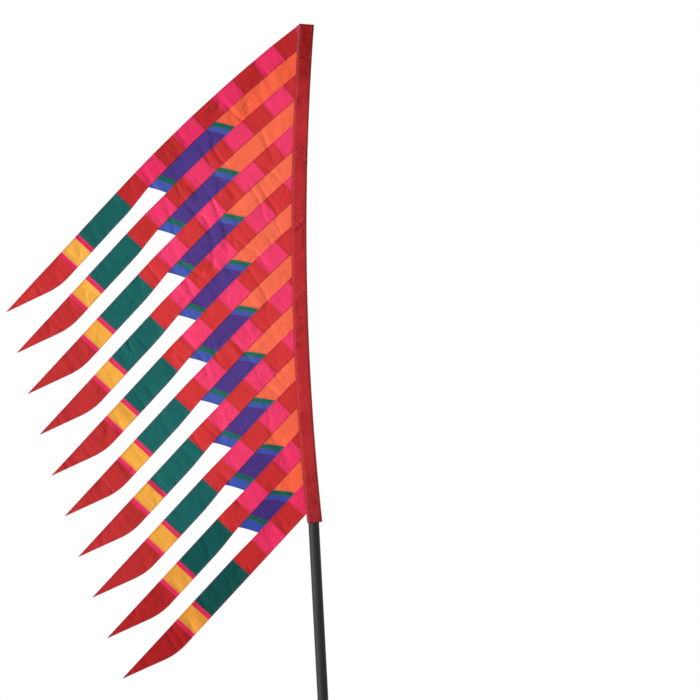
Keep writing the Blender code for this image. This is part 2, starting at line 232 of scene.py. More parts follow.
class Graph:
    """A node tree of a material, of the world or of Geometry Nodes."""

    def __init__(self, tree: bpy.types.NodeTree) -> None:
        """Empty the tree."""
        tree.nodes.clear()
        self.tree = tree

    @staticmethod
    def _socket(sockets: Iterable[bpy.types.NodeSocket], key: str | int) -> bpy.types.NodeSocket:
        """The socket of that name or place among those in use."""
        if isinstance(key, int):
            return list(sockets)[key]
        return next(s for s in sockets if s.name == key and s.enabled)

    def node(self, kind: str, settings: dict[str, Any] | None = None,
             values: dict[str | int, Any] | None = None, output: str | int = 0) -> Wire:
        """Add a node, set it and wire it.

        Args:
            kind: The node's type.
            settings: Its properties, set first, and a ramp's stops as position and colour.
            values: What its inputs hold or are wired to, by name or place.
            output: The output that is wanted.

        Returns:
            That output.
        """
        made = self.tree.nodes.new(kind)
        for key, value in (settings or {}).items():
            if key == "stops":
                self._set_stops(made.color_ramp, value)
            else:
                setattr(made, key, value)
        for key, value in (values or {}).items():
            socket = self._socket(made.inputs, key)
            if isinstance(value, Wire):
                self.tree.links.new(value.socket, socket)
            else:
                socket.default_value = value
        if not made.outputs:
            return Wire(self, made.inputs[0])
        return Wire(self, self._socket(made.outputs, output))

    @staticmethod
    def _set_stops(ramp: bpy.types.ColorRamp, stops: Sequence[tuple[float, float]]) -> None:
        """Give a ramp these grey stops."""
        while len(ramp.elements) < len(stops):
            ramp.elements.new(1.0)
        for element, (position, grey) in zip(ramp.elements, stops):
            element.position = position
            element.color = (grey, grey, grey, 1.0)

    def scaled(self, vector: Wire, scale: Wire | float) -> Wire:
        """A colour or vector times a number."""
        return self.node("ShaderNodeVectorMath", {"operation": "SCALE"},
                         {0: vector, "Scale": scale})

    def mixed(self, share: Wire | float, first: Wire | Colour, second: Wire | Colour) -> Wire:
        """A colour that goes from the first to the second."""
        first, second = (c if isinstance(c, Wire) else (*c, 1.0) for c in (first, second))
        return self.node("ShaderNodeMix", {"data_type": "RGBA"},
                         {"Factor": share, "A": first, "B": second}, "Result")

    def stretched(self, place: Wire, scale: tuple[float, float, float]) -> Wire:
        """Coordinates times a scale along each axis."""
        return self.node("ShaderNodeMapping", values={"Vector": place, "Scale": scale})

    def ramp(self, level: Wire, *stops: tuple[float, float]) -> Wire:
        """Grey from one stop to the next, each a level and its grey."""
        return self.node("ShaderNodeValToRGB", {"stops": stops}, {"Fac": level})

    def noise(self, vector: Wire, scale: float, detail: float = 2.0, **values: Any) -> Wire:
        """Soft noise from 0 to 1, in three dimensions."""
        return self.node("ShaderNodeTexNoise", {"noise_dimensions": "3D"},
                         {"Vector": vector, "Scale": scale, "Detail": detail, **values})


class Finish:
    """A material's name and how its tree is wired."""

    name: str

    def material(self) -> bpy.types.Material:
        """The material, made the first time that it is asked for."""
        made = bpy.data.materials.get(self.name)
        if made is None:
            made = bpy.data.materials.new(self.name)
            made.use_nodes = True
            graph = Graph(made.node_tree)
            shader = self.shader(graph)
            graph.node("ShaderNodeOutputMaterial", values={"Surface": shader})
        return made

    def shader(self, graph: Graph) -> Wire:
        """Wire the shader and return its output."""
        raise NotImplementedError

    @staticmethod
    def objectwise(graph: Graph) -> Wire:
        """Coordinates in metres that stay with the piece."""
        return graph.node("ShaderNodeTexCoord", output="Object")

    @staticmethod
    def bump(graph: Graph, height: Wire, distance: float, strength: float = 1.0) -> Wire:
        """A normal tipped by a height."""
        return graph.node("ShaderNodeBump", values={
            "Height": height, "Distance": distance, "Strength": strength})


@dataclass(frozen=True)
class ClothFinish(Finish):
    """Woven nylon whose dye and plies are written on the cloth."""

    name: str
    thread: float
    ripstop: float
    roughness: float
    relief: float
    double_shade: float = 0.06
    # How much painted shade darkens the creases.
    crease_shade: float = 0.05
    crease_relief: float = 0.0006
    crease_scale: float = 44.0
    crease_fineness: float = 11.0
    crease_turns: tuple[float, float] = (38.0, -18.0)
    seam_tint: Colour = (0.10, 0.022, 0.060)
    streaks: tuple[float, float, float] = (40.0, 420.0, 1.0)
    mottle_scale: float = 7.0
    gloss: float = 0.07
    sheen: float = 0.01
    sheen_roughness: float = 0.45

    def shader(self, graph: Graph) -> Wire:
        """Dye, doubled cloth along seams, weave with its heavier cords, soft mottling and painted
        shade in the creases.
        """
        place = self.objectwise(graph)
        pattern = graph.node("ShaderNodeUVMap", {"uv_map": "pattern"})
        along = graph.node("ShaderNodeSeparateXYZ", values={0: pattern}, output="X")
        across = graph.node("ShaderNodeSeparateXYZ", values={0: pattern}, output="Y")
        dye = graph.node("ShaderNodeAttribute", {"attribute_name": "dye"}, output="Color")
        ply = graph.node("ShaderNodeAttribute", {"attribute_name": "ply"}, output="Fac")
        turn = math.tau / self.thread
        warp = (along * turn).sine()
        weft = (across * turn).sine()
        cords = self.cord(along) + self.cord(across)
        mottle = graph.noise(place, self.mottle_scale)
        crease = self.creases(graph, place)
        streaks = graph.noise(graph.stretched(pattern, self.streaks), 1.0)
        # crease_shade paints shade into the creases; mottle, streaks and doubled cloth are the
        # cloth's own tone.
        shade = (0.945 + 0.10 * mottle + 0.05 * streaks - self.crease_shade * crease) \
            * (1 - self.double_shade * ply)
        colour = graph.mixed(0.07 * ply, graph.scaled(dye, shade), self.seam_tint)
        height = warp * weft * 0.5 + cords * 0.8 + streaks * 0.6
        return graph.node("ShaderNodeBsdfPrincipled", values={
            "Base Color": colour,
            "Roughness": self.roughness + 0.12 * (mottle - 0.5) - 0.05 * cords,
            "Specular IOR Level": self.gloss,
            "Sheen Weight": self.sheen,
            "Sheen Roughness": self.sheen_roughness,
            "Normal": self.bump(graph, height * self.relief
                                + crease * (1 - ply) * self.crease_relief, 1.0),
        })

    def creases(self, graph: Graph, place: Wire) -> Wire:
        """1 along the sharp lines that the folded cloth keeps, in patches here and there."""
        found = []
        for turn, seed in zip(self.crease_turns, (0.0, 4.0)):
            turned = graph.node("ShaderNodeMapping", {"vector_type": "TEXTURE"}, {
                "Vector": place, "Location": (seed, 0.0, seed),
                "Rotation": (0.0, math.radians(turn), 0.0), "Scale": (1.0, 1.0, 2.6)})
            wave = graph.noise(turned, self.crease_scale, 1.5, Distortion=0.4)
            line = (1 - (wave - 0.5).size() * self.crease_fineness).clamped() ** 1.5
            patchy = graph.noise(place, self.crease_scale * 0.42, 1.0)
            found.append(line * ((patchy - 0.52) * 8.0).clamped())
        return (found[0] + found[1]).clamped()

    def cord(self, distance: Wire) -> Wire:
        """1 on the heavier threads that cross the cloth, one for each ripstop square."""
        wave = (distance * (math.tau / self.ripstop)).sine()
        return ((wave - 0.93) * 14.0).clamped()


@dataclass(frozen=True)
class ThreadFinish(Finish):
    """Spun sewing thread."""

    name: str
    colour: Colour

    def shader(self, graph: Graph) -> Wire:
        """Its colour with lighter fibres."""
        fibres = graph.noise(self.objectwise(graph), 900.0)
        pale = tuple(min(1.0, c * 1.5 + 0.02) for c in self.colour)
        return graph.node("ShaderNodeBsdfPrincipled", values={
            "Base Color": graph.mixed(fibres, self.colour, pale),
            "Roughness": 0.62,
            "Specular IOR Level": 0.3,
            "Sheen Weight": 0.2,
        })


@dataclass(frozen=True)
class CoatedTubeFinish(Finish):
    """Satin charcoal coating over a drawn tube."""

    name: str
    colour: Colour
    rubbed: Colour

    def shader(self, graph: Graph) -> Wire:
        """Fine orange peel, long draw marks and a few rubbed places."""
        place = self.objectwise(graph)
        drawn = graph.noise(graph.stretched(place, (900.0, 900.0, 6.0)), 1.0)
        peel = graph.noise(place, 650.0, 3.0)
        handled = graph.ramp(graph.noise(place, 16.0, 6.0), (0.60, 0.0), (0.78, 1.0))
        worn = handled * (0.25 + 0.5 * drawn)
        return graph.node("ShaderNodeBsdfPrincipled", values={
            "Base Color": graph.mixed(worn * 0.6, self.colour, self.rubbed),
            "Roughness": 0.56 + 0.14 * (drawn - 0.5) + 0.10 * worn,
            "Specular IOR Level": 0.25,
            "Normal": self.bump(graph, peel * 0.6 + drawn * 0.4, 0.00006),
        })


@dataclass(frozen=True)
class ZincFinish(Finish):
    """Zinc-plated or brushed steel."""

    name: str
    colour: Colour
    roughness: float
    spangle: float

    def shader(self, graph: Graph) -> Wire:
        """Spangled plating with tool marks and dull specks."""
        place = self.objectwise(graph)
        grains = graph.node("ShaderNodeTexVoronoi", {"feature": "F1"}, {
            "Vector": place, "Scale": self.spangle}, "Color")
        grain = graph.node("ShaderNodeSeparateColor", values={0: grains})
        turned = graph.noise(graph.stretched(place, (30.0, 30.0, 1800.0)), 1.0)
        specks = graph.ramp(graph.noise(place, 210.0, 4.0), (0.62, 0.0), (0.72, 1.0))
        dull = tuple(c * 0.45 for c in self.colour)
        tone = graph.scaled(graph.mixed(specks * 0.5, self.colour, dull), 0.86 + 0.22 * grain)
        return graph.node("ShaderNodeBsdfPrincipled", values={
            "Base Color": tone,
            "Metallic": 1.0,
            "Roughness": self.roughness + 0.14 * (grain - 0.5) + 0.18 * specks,
            "Normal": self.bump(graph, turned * 0.5 + grain * 0.3, 0.00005),
        })


@dataclass(frozen=True)
class MouldedFinish(Finish):
    """Moulded nylon or rubber with a fine grain."""

    name: str
    colour: Colour
    dust: Colour
    roughness: float
    grain: float

    def shader(self, graph: Graph) -> Wire:
        """Spark-eroded grain, flow marks and a little dust."""
        place = self.objectwise(graph)
        pits = graph.noise(place, self.grain, 3.0)
        flow = graph.noise(place, 30.0)
        dusty = graph.ramp(graph.noise(place, 60.0, 5.0), (0.52, 0.0), (0.80, 1.0))
        return graph.node("ShaderNodeBsdfPrincipled", values={
            "Base Color": graph.mixed(dusty * 0.35, self.colour, self.dust),
            "Roughness": self.roughness + 0.12 * (flow - 0.5) + 0.10 * dusty,
            "Specular IOR Level": 0.4,
            "Normal": self.bump(graph, pits, 0.00008),
        })


@dataclass(frozen=True)
class FloorFinish(Finish):
    """Pale matt studio floor."""

    name: str = "studio_floor"
    colour: Colour = (0.82, 0.82, 0.82)
    scuffed: Colour = (0.74, 0.74, 0.75)

    def shader(self, graph: Graph) -> Wire:
        """Barely uneven paint."""
        uneven = graph.noise(self.objectwise(graph), 1.3)
        return graph.node("ShaderNodeBsdfPrincipled", values={
            "Base Color": graph.mixed(uneven * 0.3, self.colour, self.scuffed),
            "Roughness": 0.85,
        })


# Geometry Nodes


def numbers(*labels: str) -> tuple[tuple[str, str], ...]:
    """Inputs of a tree that each take a number."""
    return tuple((label, "NodeSocketFloat") for label in labels)


class NodeTool:
    """A Geometry Nodes tree with named inputs, which meshes are put through."""

    name: str
    inputs: tuple[tuple[str, str], ...]

    def __init__(self) -> None:
        """Make the tree and its sockets, and wire it."""
        tree = bpy.data.node_groups.new(self.name, "GeometryNodeTree")
        self.tree = tree
        tree.interface.new_socket("Geometry", in_out="OUTPUT", socket_type="NodeSocketGeometry")
        for label, kind in (("Geometry", "NodeSocketGeometry"), *self.inputs):
            tree.interface.new_socket(label, in_out="INPUT", socket_type=kind)
        graph = Graph(tree)
        entry = graph.node("NodeGroupInput").socket.node
        given = {s.name: Wire(graph, s) for s in entry.outputs if s.name}
        result = self.wire(graph, given)
        graph.node("NodeGroupOutput", values={"Geometry": result})

    def wire(self, graph: Graph, given: dict[str, Wire]) -> Wire:
        """Wire the tree from its inputs and return the geometry that it makes."""
        raise NotImplementedError

    def put_on(self, obj: bpy.types.Object, **values: Any) -> None:
        """Add the tree to an object as a modifier.

        Args:
            obj: The object.
            values: Each input's value, under its name in lower case with underscores.
        """
        modifier = obj.modifiers.new(self.name, "NODES")
        modifier.node_group = self.tree
        for item in self.tree.interface.items_tree:
            key = item.name.lower().replace(" ", "_")
            if item.in_out == "INPUT" and key in values:
                modifier[item.identifier] = values[key]


class RippleTool(NodeTool):
    """Moves cloth off its flat plane: slow swells, slack creases, seam puckers and flutter."""

    name = "ripple_cloth"
    inputs = numbers("Swell height", "Swell size", "Crease height", "Crease size",
                     "Crease stretch", "Crease lean", "Pucker height", "Pucker size",
                     "Flutter height", "Flutter size", "Room inside")
    slack_size = 4.0
    fold_size = 2.2
    fold_sharpness = 7.0
    soft_share = 0.6
    strip_seed = 3.7

    def wire(self, graph: Graph, given: dict[str, Wire]) -> Wire:
        """Offset each point along its push by noise that is read at its place."""
        place = graph.node("GeometryNodeInputPosition")
        push = self.attribute(graph, "push", "FLOAT_VECTOR")
        ply, flutter, strip = (self.attribute(graph, name, "FLOAT")
                               for name in ("ply", "flutter", "strip"))
        swell = self.wave(graph, place, given["Swell size"], 0.0)
        lean = graph.node("ShaderNodeVectorRotate", {"rotation_type": "Y_AXIS"},
                          {"Vector": place, "Angle": given["Crease lean"]})
        stretch = graph.node("ShaderNodeCombineXYZ", values={
            0: 1.0, 1: 1.0, 2: given["Crease stretch"] ** -1.0})
        drawn = graph.node("ShaderNodeVectorMath", {"operation": "MULTIPLY"},
                           {0: lean, 1: stretch})
        broad, long = given["Crease size"] * self.slack_size, given["Crease size"] * self.fold_size
        slack = ((self.wave(graph, place, broad, 3.0) + 0.35) * 1.3).clamped()
        soft = self.wave(graph, drawn, given["Crease size"], 5.0)
        bent = self.wave(graph, drawn, long, 7.0)
        fold = (1 - bent.size()).clamped() ** self.fold_sharpness
        crease = (soft * self.soft_share + fold) * slack
        pucker = self.wave(graph, place, given["Pucker size"], 9.0) * ply
        lift = (swell * given["Swell height"] + crease * given["Crease height"]
                + pucker * given["Pucker height"])
        lift = lift.maths("MAXIMUM", given["Room inside"] * -1.0)
        waving = self.wave(graph, place, given["Flutter size"], strip * self.strip_seed)
        sway = waving * flutter * given["Flutter height"]
        offset = graph.node("ShaderNodeVectorMath", {"operation": "ADD"}, {
            0: graph.scaled(push, lift),
            1: graph.node("ShaderNodeCombineXYZ", values={0: 0.0, 1: sway, 2: 0.0})})
        return graph.node("GeometryNodeSetPosition", values={
            "Geometry": given["Geometry"], "Offset": offset})

    @staticmethod
    def attribute(graph: Graph, name: str, kind: str) -> Wire:
        """A named attribute of the mesh."""
        return graph.node("GeometryNodeInputNamedAttribute", {"data_type": kind},
                          {"Name": name}, "Attribute")

    @staticmethod
    def wave(graph: Graph, place: Wire, size: Wire, seed: Wire | float) -> Wire:
        """Noise from about -1 to 1 with features of that size, its own for each seed."""
        read = graph.node("ShaderNodeTexNoise", {"noise_dimensions": "4D"}, {
            "Vector": place, "W": seed, "Scale": size ** -1.0, "Detail": 1.0,
            "Roughness": 0.4})
        return (read - 0.5) * 2.6


class StitchTool(NodeTool):
    """Lays stitches along the edges of a mesh."""

    name = "sew_stitches"
    inputs = (*numbers("Pitch", "Stitch length", "Thread width"),
              ("Thread", "NodeSocketMaterial"))
    segments = 5
    rings = 4

    def wire(self, graph: Graph, given: dict[str, Wire]) -> Wire:
        """One drawn-out grain of thread at each step along each line."""
        lines = graph.node("GeometryNodeMeshToCurve", values={"Mesh": given["Geometry"]})
        steps = graph.node("GeometryNodeCurveToPoints", {"mode": "LENGTH"}, {
            "Curve": lines, "Length": given["Pitch"]})
        tangent = Wire(graph, steps.socket.node.outputs["Tangent"])
        turned = graph.node("FunctionNodeAlignRotationToVector", {"axis": "Z"},
                            {"Vector": tangent})
        grain = graph.node("GeometryNodeMeshUVSphere", values={
            "Segments": self.segments, "Rings": self.rings, "Radius": 0.5})
        drawn = graph.node("GeometryNodeTransform", values={
            "Geometry": grain, "Scale": graph.node("ShaderNodeCombineXYZ", values={
                0: given["Thread width"], 1: given["Thread width"],
                2: given["Stitch length"]})})
        sewn = graph.node("GeometryNodeInstanceOnPoints", values={
            "Points": steps, "Instance": drawn, "Rotation": turned})
        real = graph.node("GeometryNodeRealizeInstances", values={"Geometry": sewn})
        return graph.node("GeometryNodeSetMaterial", values={
            "Geometry": real, "Material": given["Thread"]})


# Cloth


@dataclass
class Hung:
    """Points of cloth in their places, with what the ripples read there."""

    points: Array
    push: Array
    ply: Array
    flutter: Array
    strip: float = 0.0

    def write(self, mesh: bpy.types.Mesh, kept: Array | slice = slice(None)) -> None:
        """Write what the ripples read onto a mesh of these points, or of those that are kept."""
        count = len(mesh.vertices)
        columns = (("push", "FLOAT_VECTOR", "vector", self.push.reshape(-1, 3)[kept]),
                   ("ply", "FLOAT", "value", self.ply.reshape(-1)[kept]),
                   ("flutter", "FLOAT", "value", self.flutter.reshape(-1)[kept]),
                   ("strip", "FLOAT", "value", np.full(count, self.strip)))
        for name, kind, key, numbers in columns:
            attribute = mesh.attributes.new(name, kind, "POINT")
            attribute.data.foreach_set(key, numbers.astype(np.float32).ravel())


@dataclass
class ClothWorks:
    """Makes cloth and stitching out of points, with one set of ripples for the whole flag."""

    light: float
    thickness: float = 0.00070
    single_share: float = 0.55
    stitch_share: float = 0.82
    ripples: RippleTool = field(default_factory=RippleTool)
    stitches: StitchTool = field(default_factory=StitchTool)
    waves: dict[str, float] = field(default_factory=lambda: {
        "swell_height": 0.0026, "swell_size": 0.17,
        "crease_height": 0.0044, "crease_size": 0.026, "crease_stretch": 3.0,
        "crease_lean": math.radians(32.0), "pucker_height": 0.00030, "pucker_size": 0.009,
        "flutter_height": 0.0080, "flutter_size": 0.22, "room_inside": 0.05})

    def sheet(self, name: str, hung: Hung, flat: Array, colours: Array,
              finish: Finish, merged: Array | None = None) -> bpy.types.Object:
        """A sheet of cloth from a grid of points.

        Args:
            name: The piece's name.
            hung: Points in columns and rows.
            flat: Where each point was on the cut cloth.
            colours: Each column of cells' dye.
            finish: What the cloth is made of.
            merged: The column that stands for each point, where some fall together.

        Returns:
            The piece, as a plain mesh.
        """
        columns, rows = hung.points.shape[:2]
        own = np.arange(columns * rows).reshape(columns, rows)
        if merged is not None:
            own = own[merged, np.arange(rows)[None, :]]
        faces, dyes = [], []
        for column in range(columns - 1):
            first, second = own[column], own[column + 1]
            for row in range(rows - 1):
                corners = dict.fromkeys((first[row], second[row], second[row + 1],
                                         first[row + 1]))
                if len(corners) > 2:
                    faces.append(list(corners))
                    dyes.append(colours[column])
        return self.shell(name, hung, flat, faces, dyes, finish)

    def shell(self, name: str, hung: Hung, flat: Array, faces: list[list[int]],
              dyes: list[Sequence[float]], finish: Finish, inward: bool = False,
              waves: dict[str, float] | None = None) -> bpy.types.Object:
        """Cloth with its thickness, from faces between numbered points.

        Args:
            name: The piece's name.
            hung: The points.
            flat: Where each point was on the cut cloth.
            faces: Numbers of each face's points.
            dyes: Each face's colour.
            finish: What the cloth is made of.
            inward: True where the thickness goes in from the points.
            waves: Ripple sizes of its own.

        Returns:
            The piece, as a plain mesh.
        """
        used = np.unique(np.concatenate([np.asarray(face) for face in faces]))
        renumber = np.zeros(used.max() + 1, int)
        renumber[used] = np.arange(len(used))
        mesh = bpy.data.meshes.new(name)
        mesh.from_pydata(hung.points.reshape(-1, 3)[used].tolist(), [],
                         [renumber[np.asarray(face)].tolist() for face in faces])
        hung.write(mesh, used)
        corners = np.zeros(len(mesh.loops), int)
        mesh.loops.foreach_get("vertex_index", corners)
        places = mesh.uv_layers.new(name="pattern")
        places.uv.foreach_set("vector", flat.reshape(-1, 2)[used][corners]
                              .astype(np.float32).ravel())
        sides = [len(face) for face in faces]
        paint = np.repeat(np.c_[np.asarray(dyes), np.ones(len(dyes))], sides, axis=0)
        attribute = mesh.attributes.new("dye", "FLOAT_COLOR", "CORNER")
        attribute.data.foreach_set("color", paint.astype(np.float32).ravel())
        mesh.materials.append(finish.material())
        mesh.shade_smooth()
        obj = added(name, mesh)
        group = obj.vertex_groups.new(name="plies")
        share = self.single_share + (1 - self.single_share) * hung.ply.reshape(-1)[used]
        for number, weight in enumerate(share):
            group.add([number], float(weight), "REPLACE")
        self.ripples.put_on(obj, **{**self.waves, **(waves or {})})
        solidify = obj.modifiers.new("thickness", "SOLIDIFY")
        solidify.thickness = self.thickness
        solidify.offset = -1.0 if inward else 0.0
        solidify.vertex_group = group.name
        solidify.use_rim = True
        return self.plain(obj)

    def seams(self, name: str, lines: Sequence[Hung], thread: Finish, pitch: float = 0.0034,
              width: float = 0.00036, waves: dict[str, float] | None = None
              ) -> bpy.types.Object:
        """Rows of stitches along lines of points.

        Args:
            name: The piece's name.
            lines: The lines.
            thread: The thread.
            pitch: From one stitch to the next.
            width: The thread's width.
            waves: Ripple sizes of its own.

        Returns:
            The piece, as a plain mesh.
        """
        together = Hung(*(np.concatenate([getattr(line, part) for line in lines])
                          for part in ("points", "push", "ply", "flutter")), lines[0].strip)
        edges, start = [], 0
        for line in lines:
            count = len(line.points)
            edges += [(start + step, start + step + 1) for step in range(count - 1)]
            start += count
        mesh = bpy.data.meshes.new(name)
        mesh.from_pydata(together.points.tolist(), edges, [])
        together.write(mesh)
        obj = added(name, mesh)
        self.ripples.put_on(obj, **{**self.waves, **(waves or {})})
        self.stitches.put_on(obj, pitch=pitch, stitch_length=pitch * self.stitch_share,
                             thread_width=width, thread=thread.material())
        made = self.plain(obj)
        made.data.shade_smooth()
        return made

    @staticmethod
    def plain(obj: bpy.types.Object) -> bpy.types.Object:
        """Turn an object's modifiers into plain mesh."""
        graph = bpy.context.evaluated_depsgraph_get()
        mesh = bpy.data.meshes.new_from_object(obj.evaluated_get(graph))
        mesh.name = obj.name
        obj.modifiers.clear()
        obj.vertex_groups.clear()
        obj.data = mesh
        return obj


@dataclass(frozen=True)
class FlagLines:
    """The lines that the sleeve and the strips follow, as in the frame."""

    sleeve_foot: float = 0.980
    sleeve_height: float = 1.461
    sleeve_set: float = 0.0022
    sleeve_lean: float = 0.0795
    sleeve_bow: float = 0.1319
    half_wide: float = 0.02115
    seam_gap: float = 0.0003
    streamers: int = 10
    width: float = 0.060
    spacing_grade: float = 0.0010
    lowest_corner_up: float = 0.030
    slope_at_sleeve: float = 36.6
    slope_step: float = 0.8
    slope_at_tail: float = 44.3
    bend_run: float = 0.85
    bend_run_step: float = 0.10
    bend_run_least: float = 0.05
    slack_run: float = 0.09
    slack_least: float = 0.05

    @property
    def sleeve_top(self) -> float:
        """The height of the sleeve's top."""
        return self.sleeve_foot + self.sleeve_height

    def up(self, height: Array | float) -> Array:
        """How far up the sleeve a height is, from 0 to 1."""
        return np.maximum((np.asarray(height) - self.sleeve_foot) / self.sleeve_height, 0.0)

    def sleeve_line(self, height: Array | float) -> Array:
        """Sideways place of the sleeve's centre."""
        up = self.up(height)
        return self.sleeve_set - self.sleeve_lean * up + self.sleeve_bow * up * up

    def sleeve_lean_at(self, height: Array | float, near: float = 0.002) -> Array:
        """The sleeve's angle from upright, read from its line just above and below."""
        return np.arctan2(self.sleeve_line(height + near) - self.sleeve_line(height - near),
                          2 * near)

    def sleeve_edge(self, height: Array | float) -> Array:
        """Sideways place of the seam that the cloth hangs from."""
        return self.sleeve_line(height) - self.half_wide - self.seam_gap

    def slack(self, points: Array) -> Array:
        """Which way each point may move: off the flag's plane, and least beside the sleeve."""
        push = np.zeros_like(points)
        away = self.sleeve_edge(points[..., 2]) - points[..., 0]
        push[..., 1] = smooth(away / self.slack_run + self.slack_least)
        return push

    def slope(self, index: int, along: Array) -> Array:
        """Angle below level of a strip this far out along its upper edge."""
        start = math.radians(self.slope_at_sleeve + self.slope_step * index)
        run = max(self.bend_run - self.bend_run_step * index, self.bend_run_least)
        return start + (math.radians(self.slope_at_tail) - start) * smooth(along / run)

    def root(self, index: int) -> tuple[float, float]:
        """Where a strip's upper edge meets the sleeve."""
        last = self.streamers - 1
        foot_slope = math.radians(self.slope_at_sleeve + self.slope_step * last)
        lowest = self.sleeve_foot + self.lowest_corner_up + self.width / math.cos(foot_slope)
        height = self.sleeve_top + (lowest - self.sleeve_top) * index / last
        height += self.spacing_grade * index * (last - index) / 2
        return float(self.sleeve_edge(height)), height


class StripLine:
    """One strip's upper edge, from inside the sleeve to beyond its tip."""

    BEHIND = 0.25
    AHEAD = 1.30
    STEP = 0.001

    def __init__(self, lines: FlagLines, index: int) -> None:
        """Walk the line both ways from its root."""
        self.lines = lines
        self.index = index
        count = round((self.BEHIND + self.AHEAD) / self.STEP)
        self.along = np.linspace(-self.BEHIND, self.AHEAD, count + 1)
        self.angle = lines.slope(index, self.along)
        middle = (self.angle[1:] + self.angle[:-1]) / 2
        x = np.concatenate([[0.0], np.cumsum(-np.cos(middle)) * self.STEP])
        z = np.concatenate([[0.0], np.cumsum(-np.sin(middle)) * self.STEP])
        root_x, root_z = lines.root(index)
        self.x = x + root_x - np.interp(0.0, self.along, x)
        self.z = z + root_z - np.interp(0.0, self.along, z)

    def at(self, along: Array | float, across: Array | float) -> Array:
        """Points this far out along the edge and this far over from it."""
        angle = np.interp(along, self.along, self.angle)
        x = np.interp(along, self.along, self.x) + np.sin(angle) * across
        z = np.interp(along, self.along, self.z) - np.cos(angle) * across
        return np.stack([x, np.zeros_like(x), z], axis=-1)

    def start(self, across: float) -> float:
        """How far along a line this far over from the edge meets the sleeve."""
        points = self.at(self.along, across)
        beyond = self.lines.sleeve_edge(points[:, 2]) - points[:, 0]
        return float(np.interp(0.0, beyond, self.along))

    def out(self, along: float) -> Vector:
        """The way out along the edge, there."""
        angle = float(np.interp(along, self.along, self.angle))
        return Vector((-math.cos(angle), 0.0, -math.sin(angle)))


def spaced(low: float, high: float, step: float, marks: Iterable[float] = ()) -> Array:
    """Numbers from low to high, about a step apart, with the marks among them.

    Args:
        low: The first number.
        high: The last number.
        step: The usual distance between them.
        marks: Numbers that have to be there, which others stand clear of.

    Returns:
        The numbers, in order.
    """
    fixed = sorted({low, high, *(m for m in marks if low < m < high)})
    found = [fixed[0]]
    for a, b in zip(fixed, fixed[1:]):
        count = max(1, round((b - a) / step))
        found += [a + (b - a) * k / count for k in range(1, count + 1)]
    return np.array(found)


@dataclass(frozen=True)
class Patch:
    """A patch of one dye, up to where it ends along the strip."""

    end: float
    dye: Dye


